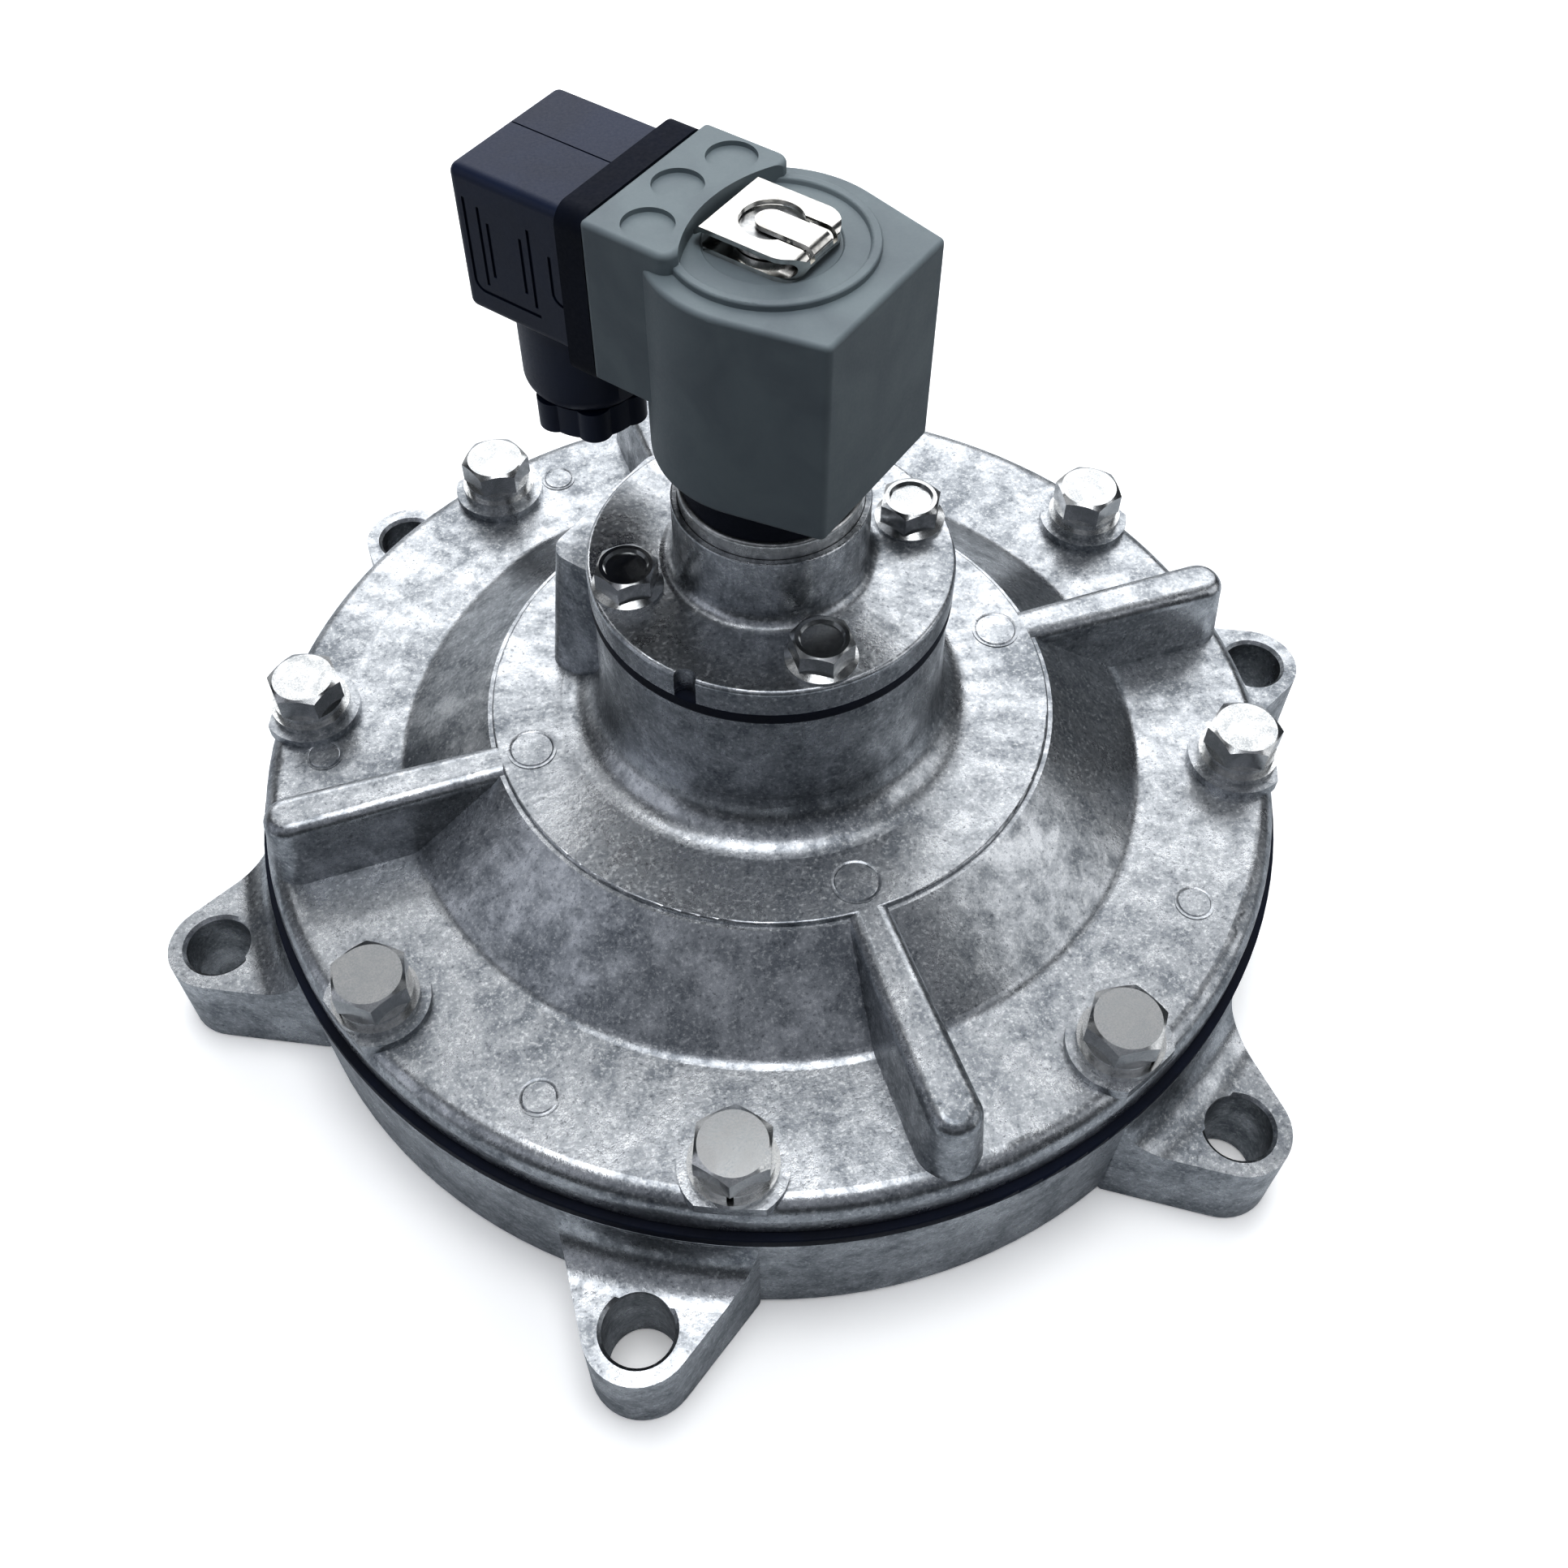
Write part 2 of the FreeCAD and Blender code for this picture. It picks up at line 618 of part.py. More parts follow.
def cover_shell():
    """Outside of the cover, turned: rim, sloping dome, flat ring and neck."""
    lip = dome_top - DOME_LIP
    return turned([(0, cover_base, 0), (cover_r, cover_base, CAST_ROUND),
                   (cover_r, flange_top, COVER_RIM_ROUND), (dome_foot_r, flange_top, DOME_FOOT_ROUND),
                   (DOME_TOP_R + DOME_LIP, lip, 0), (DOME_TOP_R, lip, 0), (DOME_TOP_R, dome_top, CAST_ROUND),
                   (neck_foot_r, dome_top, NECK_ROOT_ROUND), (NECK_R, neck_top, CAST_ROUND),
                   (0, neck_top, 0)])


def cover_chamber():
    """Space over the main diaphragm."""
    relief = cover_base + CHAMBER_RELIEF
    slope_foot = dome_foot_r - DOME_SLOPE_INSET
    slope_top = DOME_TOP_R - DOME_SLOPE_INSET
    return turned([(0, cover_base - THROUGH, 0), (chamber_r, cover_base - THROUGH, 0),
                   (chamber_r, relief, CHAMBER_ROUND), (slope_foot, relief, CHAMBER_ROUND),
                   (slope_top, chamber_roof, CHAMBER_ROUND), (0, chamber_roof, 0)])


def drafted(low, bottom, high, top):
    """Solid between a lower and an upper outline (x, y, radius)."""
    wires = []
    for corners, level in ((low, bottom), (high, top)):
        wire = rounded_face(corners, plan).OuterWire
        wire.translate(Vector(0, 0, level))
        wires.append(wire)
    return Part.makeLoft(wires, True, True)


def rib_outline(half, end):
    """Rib seen from above, from the neck's root to a round nose."""
    start = NECK_R + NECK_ROOT_ROUND
    nose = half - RIB_NOSE_FLAT
    root = half - RIB_ROOT_INSET
    return [(start, -root, 0), (end, -half, nose), (end, half, nose), (start, root, 0)]


def rib():
    """Rib from the dome's flat ring to the rim, drafted, with a round nose and crest."""
    end = cover_r - RIB_END_INSET
    lean = RIB_HALF_FOOT - RIB_HALF_TOP
    bar = drafted(rib_outline(RIB_HALF_FOOT, end), flange_top - THROUGH,
                  rib_outline(RIB_HALF_TOP, end - lean), dome_top)
    crest = [edge for edge in bar.Edges if edge.BoundBox.ZMin > dome_top - PICK_BAND
             and edge.BoundBox.XMax > NECK_R + NECK_ROOT_ROUND + PICK_BAND]
    return bar.makeFillet(RIB_TOP_ROUND, crest)


def vent_boss_outline(half, reach):
    """Vent boss seen from above, from the axis to its face."""
    return [(-half, 0, 0), (half, 0, 0), (half, reach, VENT_BOSS_ROUND), (-half, reach, VENT_BOSS_ROUND)]


def vent_boss():
    """Drafted block on the neck, around the vent duct."""
    low = vent_boss_outline(VENT_BOSS_HALF + VENT_BOSS_DRAFT, VENT_BOSS_REACH + VENT_BOSS_DRAFT)
    high = vent_boss_outline(VENT_BOSS_HALF, VENT_BOSS_REACH)
    return on_coil(drafted(low, vent_boss_foot, high, neck_top))


def vent_duct(radius, start, end):
    """Level cylinder along the boss, from one distance from the axis to another."""
    duct = Part.makeCylinder(radius, end - start, Vector(0, start, vent_level), Vector(0, 1, 0))
    return on_coil(duct)


def vent_core():
    """Vent tube in the middle of the neck, with its duct wall and the web that carries it."""
    reach = PILOT_CHAMBER_R + VENT_DUCT_WALL
    half = VENT_WEB_T / 2
    web = on_coil(block(-reach, reach, -half, half, vent_floor, vent_seat - VENT_BORE_R))
    wall = vent_duct(VENT_DUCT_R + VENT_DUCT_WALL, 0, reach)
    return post(VENT_TUBE_R, vent_floor, vent_seat).fuse([wall, web])


def cover():
    """Cast cover: rim, dome, ribs, bolt pads, neck with the pilot passages and the vent boss."""
    pad = post(PAD_R, flange_top - THROUGH, pad_top, BOLT_CIRCLE_R)
    pad = pad.common(post(cover_r, cover_base, pad_top))
    pads = ring_of(pad, COVER_BOLT_COUNT, cover_bolt_angle())
    shell = cover_shell().fuse(ring_of(rib(), RIB_COUNT) + [vent_boss()] + pads)
    pilot_chamber = post(PILOT_CHAMBER_R, chamber_roof - THROUGH, neck_top + THROUGH)
    shell = shell.cut([cover_chamber(), pilot_chamber]).fuse(vent_core())
    hole = post(bolt_hole_r, cover_base - THROUGH, pad_top + THROUGH, BOLT_CIRCLE_R)
    tapped = post(PILOT_BOLT_R + THREAD_CLEARANCE, neck_top - PILOT_BOLT_LENGTH, neck_top + THROUGH,
                  PILOT_BOLT_CIRCLE_R)
    passages = [post(VENT_BORE_R, vent_level, vent_seat + THROUGH), vent_duct(VENT_DUCT_R, 0, vent_mouth),
                vent_duct(VENT_PORT_R, vent_mouth - VENT_PORT_DEPTH, vent_mouth + THROUGH)]
    holes = ring_of(hole, COVER_BOLT_COUNT, cover_bolt_angle()) + ring_of(tapped, PILOT_BOLT_COUNT)
    return shell.cut(holes + passages)


def cover_bolt():
    """Hexagon bolt of the cover."""
    base = pad_top + FLAT_WASHER_T + SPRING_WASHER_T
    head = hex_head(COVER_BOLT_FLATS, base, base + COVER_BOLT_HEAD, COVER_BOLT_CHAMFER)
    bolt = head.fuse(post(COVER_BOLT_R, base - COVER_BOLT_LENGTH, base))
    bolt.translate(Vector(BOLT_CIRCLE_R, 0, 0))
    return bolt


def cover_flat_washer():
    """Flat washer on the cover's pad."""
    return tube(FLAT_WASHER_R, COVER_BOLT_R + WASHER_BORE_CLEARANCE, pad_top, pad_top + FLAT_WASHER_T,
                BOLT_CIRCLE_R)


def cover_spring_washer():
    """Split spring washer between the flat washer and the bolt's head."""
    base = pad_top + FLAT_WASHER_T
    ring = tube(SPRING_WASHER_R, COVER_BOLT_R + WASHER_BORE_CLEARANCE, base, base + SPRING_WASHER_T,
                BOLT_CIRCLE_R)
    half = SPRING_WASHER_GAP / 2
    split = block(BOLT_CIRCLE_R, BOLT_CIRCLE_R + SPRING_WASHER_R + THROUGH, -half, half, base - THROUGH,
                  base + SPRING_WASHER_T + THROUGH)
    return ring.cut(split)


def pilot_diaphragm():
    """Small diaphragm between neck and cap."""
    low = neck_top
    high = cap_base
    disc = tube(CAP_R, PILOT_STUD_R + THREAD_CLEARANCE, low, high)
    hole = post(pilot_hole_r, low - THROUGH, high + THROUGH, PILOT_BOLT_CIRCLE_R)
    return disc.cut(ring_of(hole, PILOT_BOLT_COUNT))


def pilot_valve_disc():
    """Turned disc that closes the vent tube, riveted through the pilot diaphragm."""
    low = neck_top - PILOT_DISC_T
    high = cap_base + PILOT_PLATE_T
    return turned([(0, low, 0), (PILOT_DISC_R, low, MOULD_ROUND), (PILOT_DISC_R, neck_top, 0),
                   (PILOT_STUD_R, neck_top, 0), (PILOT_STUD_R, cap_base, 0), (PILOT_PLATE_R, cap_base, 0),
                   (PILOT_PLATE_R, high, MOULD_ROUND), (0, high, 0)])


def pilot_spring():
    """Spring over the pilot diaphragm."""
    return coil_spring(PILOT_SPRING_R, PILOT_SPRING_WIRE_R, cap_base + PILOT_PLATE_T, pocket_roof,
                       PILOT_SPRING_HALF_TURNS)


def pilot_cap():
    """Round cast cap with the hub that takes the solenoid stem, and a locating notch in its rim."""
    seat_r = HUB_R - HUB_LIP
    outside = turned([(0, cap_base, 0), (CAP_R, cap_base, 0), (CAP_R, cap_top, CAP_EDGE_ROUND),
                      (HUB_R, cap_top, HUB_ROOT_ROUND), (HUB_R, hub_top, MACHINED_ROUND),
                      (seat_r, hub_top, 0), (seat_r, stem_base, 0), (NOZZLE_R, stem_base, 0),
                      (NOZZLE_R, nozzle_top, MACHINED_ROUND), (0, nozzle_top, 0)])
    ceiling = cap_top - CAP_ROOF
    pocket = turned([(0, cap_base - THROUGH, 0), (PILOT_CHAMBER_R, cap_base - THROUGH, 0),
                     (PILOT_CHAMBER_R, ceiling, CAST_ROUND), (HUB_POCKET_R, ceiling, 0),
                     (HUB_POCKET_R, pocket_roof, CAST_FOOT_ROUND), (0, pocket_roof, 0)])
    orifice = post(NOZZLE_BORE_R, pocket_roof - THROUGH, nozzle_top + THROUGH)
    notch = around(post(CAP_NOTCH_R, cap_base - THROUGH, cap_top + THROUGH, CAP_R), CAP_NOTCH_ANGLE)
    hole = post(pilot_hole_r, cap_base - THROUGH, cap_top + THROUGH, PILOT_BOLT_CIRCLE_R)
    return outside.cut([pocket, orifice, notch] + ring_of(hole, PILOT_BOLT_COUNT))


def pilot_bolt():
    """Flanged hexagon bolt of the cap, its head dished on top."""
    head_top = cap_top + PILOT_BOLT_HEAD
    head = hex_head(PILOT_BOLT_FLATS, cap_top, head_top, PILOT_BOLT_CHAMFER)
    crown = cap_top + PILOT_FLANGE_T
    flange = turned([(0, cap_top, 0), (PILOT_FLANGE_R, cap_top, 0),
                     (PILOT_FLANGE_R, cap_top + PILOT_FLANGE_EDGE, 0), (PILOT_BOLT_FLATS / 2, crown, 0),
                     (0, crown, 0)])
    shank = post(PILOT_BOLT_R, cap_top - PILOT_BOLT_LENGTH, cap_top)
    dish = Part.makeCone(PILOT_DISH_R - PILOT_DISH_SLOPE, PILOT_DISH_R, PILOT_DISH_DEPTH,
                         Vector(0, 0, head_top - PILOT_DISH_DEPTH))
    bolt = head.fuse([flange, shank]).cut(dish)
    bolt.translate(Vector(PILOT_BOLT_CIRCLE_R, 0, 0))
    return bolt


def stem_tube():
    """Solenoid stem: flange seated in the hub, and the tube that the plunger runs in."""
    roof = stem_base + STEM_CAVITY_HEIGHT
    return turned([(STEM_CAVITY_R, stem_base, 0), (STEM_FLANGE_R, stem_base, 0),
                   (STEM_FLANGE_R, stem_flange_top, STEM_FLANGE_ROUND), (STEM_R, stem_flange_top, 0),
                   (STEM_R, coil_top, MACHINED_ROUND), (STEM_BORE_R, coil_top, 0), (STEM_BORE_R, roof, 0),
                   (STEM_CAVITY_R, roof, 0)])


def fixed_core():
    """Core fixed in the top of the stem, with the grooved head that the clip holds."""
    fit_r = STEM_BORE_R - CORE_FIT
    groove_top = coil_top + CLIP_T + CLIP_SLOT_CLEARANCE
    head_top = groove_top + CORE_HEAD_T
    face_r = CORE_HEAD_R - CORE_HEAD_CHAMFER
    return turned([(0, core_base, 0), (fit_r, core_base, MACHINED_ROUND), (fit_r, coil_top, 0),
                   (CORE_NECK_R, coil_top, 0), (CORE_NECK_R, groove_top, 0), (CORE_HEAD_R, groove_top, 0),
                   (CORE_HEAD_R, head_top - CORE_HEAD_CHAMFER, 0), (face_r, head_top, 0), (0, head_top, 0)])


def plunger():
    """Plunger with the seal's pocket below and the spring's bore above."""
    radius = STEM_BORE_R - PLUNGER_CLEARANCE
    pocket_top = plunger_base + PLUNGER_SEAL_T - PLUNGER_SEAL_PROUD
    bore_floor = plunger_top - PLUNGER_SPRING_DEPTH
    pocket_r = PLUNGER_SEAL_R + THREAD_CLEARANCE
    return turned([(pocket_r, plunger_base, 0), (radius, plunger_base, MACHINED_ROUND),
                   (radius, plunger_top, MACHINED_ROUND), (PLUNGER_SPRING_BORE_R, plunger_top, 0),
                   (PLUNGER_SPRING_BORE_R, bore_floor, 0), (0, bore_floor, 0), (0, pocket_top, 0),
                   (pocket_r, pocket_top, 0)])


def plunger_seal():
    """Soft disc that closes the nozzle."""
    low = plunger_base - PLUNGER_SEAL_PROUD
    return post(PLUNGER_SEAL_R, low, low + PLUNGER_SEAL_T)


def plunger_spring():
    """Return spring in the plunger's bore."""
    bore_floor = plunger_top - PLUNGER_SPRING_DEPTH
    return coil_spring(PLUNGER_SPRING_R, PLUNGER_SPRING_WIRE_R, bore_floor, core_base,
                       PLUNGER_SPRING_HALF_TURNS)


def coil_seal():
    """Rubber sleeve between the stem's flange and the coil."""
    return tube(COIL_SEAL_R, STEM_R + COIL_BORE_CLEARANCE, stem_flange_top, coil_base - COIL_FLOAT)


def coil_outline():
    """Coil seen from above: a round front whose tangents run back to two square corners."""
    reach = math.hypot(COIL_BACK_HALF, COIL_BACK)
    angle = math.acos(COIL_R / reach) - math.atan2(COIL_BACK, COIL_BACK_HALF)
    touch_x = COIL_R * math.cos(angle)
    touch_y = COIL_R * math.sin(angle)
    edges = [Part.Arc(plan(touch_x, touch_y), plan(0, COIL_R), plan(-touch_x, touch_y)).toShape(),
             Part.makeLine(plan(-touch_x, touch_y), plan(-COIL_BACK_HALF, -COIL_BACK)),
             Part.makeLine(plan(-COIL_BACK_HALF, -COIL_BACK), plan(COIL_BACK_HALF, -COIL_BACK)),
             Part.makeLine(plan(COIL_BACK_HALF, -COIL_BACK), plan(touch_x, touch_y))]
    return Part.Face(Part.Wire(edges))


def coil_barrel():
    """Body of the coil, its back corners and its two ends lightly rounded."""
    face = coil_outline()
    face.translate(Vector(0, 0, coil_base))
    body = face.extrude(Vector(0, 0, COIL_HEIGHT))
    corners = [edge for edge in body.Edges if edge.BoundBox.ZLength > COIL_HEIGHT / 2
               and edge.BoundBox.YMax < -COIL_BACK + PICK_BAND]
    body = body.makeFillet(COIL_BACK_ROUND, corners)
    ends = [edge for edge in body.Edges if edge.BoundBox.ZLength < PICK_BAND]
    return body.makeFillet(COIL_EDGE_ROUND, ends)


def block_outline(start, back_round):
    """Plug block seen from above, from a distance from the axis to its face."""
    return [(-BLOCK_HALF, start, back_round), (BLOCK_HALF, start, back_round),
            (BLOCK_HALF, BLOCK_FACE, BLOCK_FACE_ROUND), (-BLOCK_HALF, BLOCK_FACE, BLOCK_FACE_ROUND)]


def plug_block():
    """Block that carries the plug, raised over the coil's top and hollowed round the stem head."""
    raise_from = coil_top - COIL_EDGE_ROUND
    low = plate(block_outline(0, 0), block_base, coil_top)
    high = plate(block_outline(BLOCK_START, BLOCK_ROUND), raise_from, block_top)
    rim = [edge for edge in high.Edges if edge.BoundBox.ZMin > block_top - PICK_BAND]
    high = high.makeFillet(BLOCK_EDGE_ROUND, rim)
    hollow = post(BLOCK_ARC_R, raise_from - THROUGH, block_top + THROUGH, 0, BLOCK_ARC_AT - BLOCK_ARC_R)
    return low.fuse(high.cut(hollow))


def block_recesses():
    """Three shallow round recesses along the raised block."""
    cuts = []
    for index in (-1, 0, 1):
        at_y = RECESS_AT - RECESS_SAG * abs(index)
        cuts.append(post(RECESS_R, block_top - RECESS_DEPTH, block_top + THROUGH, index * RECESS_STEP, at_y))
    return cuts


def screw_space(radius, start, end):
    """Level cylinder on the plug screw's line."""
    return Part.makeCylinder(radius, end - start, Vector(0, start, connector_level), Vector(0, 1, 0))


def terminal_pins(extra, start, end):
    """Two flat pins side by side and one across below, thickened all round by extra."""
    half_w = TERMINAL_WIDTH / 2 + extra
    half_t = TERMINAL_T / 2 + extra
    low = connector_level - half_w
    high = connector_level + half_w
    pins = []
    for x in (-TERMINAL_SPREAD, TERMINAL_SPREAD):
        pins.append(block(x - half_t, x + half_t, start, end, low, high))
    z = connector_level - TERMINAL_SPREAD
    pins.append(block(-half_w, half_w, start, end, z - half_t, z + half_t))
    return pins


def coil_disc():
    """Raised disc on the coil: a flat ring round the clip with a bead along its rim."""
    foot = coil_top - COIL_EDGE_ROUND
    flat = coil_top + COIL_DISC_RISE
    crest = coil_top + COIL_BEAD_RISE
    inner_r = COIL_BEAD_R - COIL_BEAD_HALF
    outer_r = COIL_BEAD_R + COIL_BEAD_HALF
    return turned([(COIL_DISC_BORE_R, foot, 0), (outer_r, foot, 0), (outer_r, crest, MOULD_ROUND),
                   (inner_r + COIL_BEAD_FLANK, crest, MOULD_ROUND), (inner_r, flat, 0),
                   (COIL_DISC_BORE_R, flat, MACHINED_ROUND)])


def coil_housing():
    """Moulded coil with its plug block and the disc round the clip."""
    body = coil_barrel().fuse([plug_block(), coil_disc()])
    bore = post(STEM_R + COIL_BORE_CLEARANCE, coil_base - THROUGH, coil_top + THROUGH)
    thread = screw_space(SCREW_R + THREAD_CLEARANCE, BLOCK_FACE - SCREW_BITE - THROUGH, BLOCK_FACE + THROUGH)
    body = body.cut([bore, thread] + block_recesses())
    return on_coil(body)


def coil_terminals():
    """Three flat pins that stand on the block's face."""
    pins = terminal_pins(0, BLOCK_FACE, BLOCK_FACE + TERMINAL_REACH)
    return on_coil(Part.makeCompound(pins))


def clip_slots():
    """Slot round the stem's neck in the lower leaf, and the slit that frees the tongue above."""
    middle = coil_top + CLIP_RISE / 2
    neck_r = CORE_NECK_R + CLIP_SLOT_CLEARANCE
    reach = CLIP_FRONT + CLIP_LIP_REACH + THROUGH
    gap = block(-neck_r, neck_r, 0, reach, coil_top - THROUGH, middle)
    lower = post(neck_r, coil_top - THROUGH, middle).fuse(gap)
    high = clip_top + THROUGH
    slit_half = CLIP_TONGUE_HALF + CLIP_SLIT
    run = block(-slit_half, slit_half, -CLIP_BACK - THROUGH, 0, middle, high)
    opened = post(CLIP_EYE_R, middle, high).fuse(run)
    tip_at = CLIP_TONGUE_TIP - CLIP_TONGUE_HALF
    tongue = block(-CLIP_TONGUE_HALF, CLIP_TONGUE_HALF, -CLIP_BACK - THROUGH, tip_at, middle, high)
    trim = tube(COIL_R, COIL_DISC_BORE_R - CLIP_SEAT_GAP, coil_top - THROUGH, middle)
    return [lower, trim, opened.cut(tongue.fuse(post(CLIP_TONGUE_HALF, middle, high, 0, tip_at)))]


def retaining_clip():
    """Spring clip: a strip folded over itself, with a bent lip in front and a tongue over the stem."""
    low = coil_top
    fold = CLIP_FOLD_ROUND
    lip_end = CLIP_FRONT + CLIP_LIP_REACH
    lip_low = clip_top - CLIP_LIP_DROP
    inside = fold - CLIP_T
    back = CLIP_T - CLIP_BACK
    half = CLIP_HALF
    strip = rounded_face([(CLIP_FRONT, low, 0), (-CLIP_BACK, low, fold), (-CLIP_BACK, clip_top, fold),
                          (CLIP_FRONT, clip_top, 0), (lip_end, lip_low, 0), (lip_end - CLIP_T, lip_low, 0),
                          (CLIP_FRONT - CLIP_T / 2, clip_top - CLIP_T, 0), (back, clip_top - CLIP_T, inside),
                          (back, low + CLIP_T, inside), (CLIP_FRONT, low + CLIP_T, 0)],
                         lambda y, z: Vector(-half, y, z))
    outline = plate([(-half, -CLIP_BACK, CLIP_BACK_ROUND), (half, -CLIP_BACK, CLIP_BACK_ROUND),
                     (half, lip_end, CLIP_LIP_ROUND), (-half, lip_end, CLIP_LIP_ROUND)], low, clip_top)
    clip = strip.extrude(Vector(2 * half, 0, 0)).common(outline).cut(clip_slots())
    return on_coil(clip)


def upright_plate(half, low, high, corner, start, end):
    """Plate that stands across the plug's line, with rounded corners."""
    corners = [(-half, low, corner), (half, low, corner), (half, high, corner), (-half, high, corner)]
    face = rounded_face(corners, lambda x, z: Vector(x, start, z))
    return face.extrude(Vector(0, end - start, 0))


def connector_gasket():
    """Thick gasket between the block and the plug, with a window for the pins."""
    low = block_base - GASKET_DROP
    pad = upright_plate(GASKET_HALF, low, block_top, GASKET_ROUND, BLOCK_FACE, housing_front)
    window = block(-PIN_WINDOW_HALF, PIN_WINDOW_HALF, BLOCK_FACE - THROUGH, housing_front + THROUGH,
                   connector_level - PIN_WINDOW_HALF, connector_level + PIN_WINDOW_HALF)
    return on_coil(pad.cut(window))


def housing_socket(clearance, depth):
    """Space for the terminal block in the plug, less a clearance all round."""
    half = HOUSING_HALF - HOUSING_WALL - clearance
    return block(-half, half, housing_front, housing_front + depth - clearance,
                 housing_base + HOUSING_WALL + clearance, housing_top - HOUSING_WALL - clearance)


def side_groove(corners):
    """Shallow cut in the plug's near side; the corners are (setback from the end, drop, radius)."""
    x = -HOUSING_HALF - HOUSING_LINE_DEPTH
    face = rounded_face(corners, lambda setback, drop: Vector(x, housing_end - setback, housing_top - drop))
    return face.extrude(Vector(2 * HOUSING_LINE_DEPTH, 0, 0))


def housing_lines():
    """Bare ornament moulded in the plug's two sides, and the mould's parting line on its top."""
    width = HOUSING_LINE_WIDTH
    cuts = []
    for setback, top, bottom in HOUSING_LINES:
        cuts.append(side_groove([(setback, top, 0), (setback + width, top, 0), (setback + width, bottom, 0),
                                 (setback, bottom, 0)]))
    for setback, top, bottom, reach in HOUSING_BENT_LINES:
        cuts.append(side_groove([(setback, top, 0), (setback, bottom, HOUSING_LINE_TURN_R),
                                 (reach, bottom, 0), (reach, bottom - width, 0),
                                 (setback + width, bottom - width, HOUSING_LINE_TURN_R - width),
                                 (setback + width, top, 0)]))
    far = [cut.mirror(ORIGIN, Vector(1, 0, 0)) for cut in cuts]
    seam = block(HOUSING_SEAM_AT, HOUSING_SEAM_AT + HOUSING_SEAM_WIDTH, housing_front, housing_end + THROUGH,
                 housing_top - HOUSING_SEAM_DEPTH, housing_top + THROUGH)
    return cuts + far + [seam]


def gland_barrel():
    """Upright sleeve under the plug that the gland nut screws into, flat towards the gasket."""
    barrel = turned([(0, barrel_base, 0), (BARREL_R, barrel_base, BARREL_END_ROUND),
                     (BARREL_R, housing_base + HOUSING_WALL, 0), (0, housing_base + HOUSING_WALL, 0)])
    barrel.translate(Vector(0, gland_at, 0))
    return barrel.cut(block(-BARREL_R, BARREL_R, 0, housing_front, barrel_base - THROUGH, housing_top))


def connector_housing():
    """Plug housing with its cable barrel, the socket for the terminal block and the screw's hole."""
    shell = upright_plate(HOUSING_HALF, housing_base, housing_top, HOUSING_EDGE_ROUND, housing_front,
                          housing_end)
    rim = [edge for edge in shell.Edges if edge.BoundBox.YMin > housing_end - PICK_BAND]
    shell = shell.makeFillet(HOUSING_RIM_ROUND, rim).fuse(gland_barrel())
    socket = housing_socket(0, HOUSING_SOCKET_DEPTH)
    bore = post(BARREL_BORE_R, barrel_base - THROUGH, housing_base + HOUSING_WALL + THROUGH, 0, gland_at)
    screw = screw_space(SCREW_R + SCREW_CLEARANCE, housing_front, housing_end + THROUGH)
    head = screw_space(SCREW_HEAD_R + SCREW_CLEARANCE, housing_end - SCREW_RECESS, housing_end + THROUGH)
    return on_coil(shell.cut([socket, bore, screw, head] + housing_lines()))


def terminal_block():
    """Insulating block inside the plug, with sockets for the pins."""
    core = housing_socket(SOCKET_CLEARANCE, TERMINAL_BLOCK_DEPTH)
    screw = screw_space(SCREW_R + SCREW_CLEARANCE, housing_front - THROUGH,
                        housing_front + TERMINAL_BLOCK_DEPTH)
    pin_end = BLOCK_FACE + TERMINAL_REACH + TERMINAL_CLEARANCE
    pins = terminal_pins(TERMINAL_CLEARANCE, BLOCK_FACE, pin_end)
    return on_coil(core.cut(pins + [screw]))


def gland_nut():
    """Gland nut with six lobes, a spigot in the barrel and the hole for the cable."""
    lobe = post(GLAND_LOBE_R, gland_nut_base, gland_nut_top, GLAND_NUT_R - GLAND_LOBE_R)
    lobes = ring_of(lobe, GLAND_LOBE_COUNT, GLAND_LOBE_START)
    spigot = post(BARREL_BORE_R - THREAD_CLEARANCE, gland_nut_top, gland_nut_top + GLAND_NUT_SPIGOT)
    nut = post(GLAND_NUT_CORE_R, gland_nut_base, gland_nut_top).fuse(lobes + [spigot])
    nut = nut.cut(post(CABLE_BORE_R, gland_nut_base - THROUGH, gland_nut_top + GLAND_NUT_SPIGOT + THROUGH))
    nut.translate(Vector(0, gland_at, 0))
    return on_coil(nut)


def gland_seal():
    """Rubber grommet that the gland nut squeezes on the cable."""
    low = gland_nut_top + GLAND_NUT_SPIGOT
    return on_coil(tube(BARREL_BORE_R - THREAD_CLEARANCE, GLAND_SEAL_BORE_R, low, low + GLAND_SEAL_HEIGHT,
                        0, gland_at))


def connector_screw():
    """Slotted screw through the plug and the gasket into the coil."""
    head_end = housing_end - SCREW_RECESS + SCREW_HEAD_T
    shank = screw_space(SCREW_R, BLOCK_FACE - SCREW_BITE, housing_end - SCREW_RECESS)
    head = screw_space(SCREW_HEAD_R, housing_end - SCREW_RECESS, head_end)
    slot = block(-SCREW_HEAD_R - THROUGH, SCREW_HEAD_R + THROUGH, head_end - SCREW_SLOT, head_end + THROUGH,
                 connector_level - SCREW_SLOT / 2, connector_level + SCREW_SLOT / 2)
    return on_coil(shank.fuse(head).cut(slot))


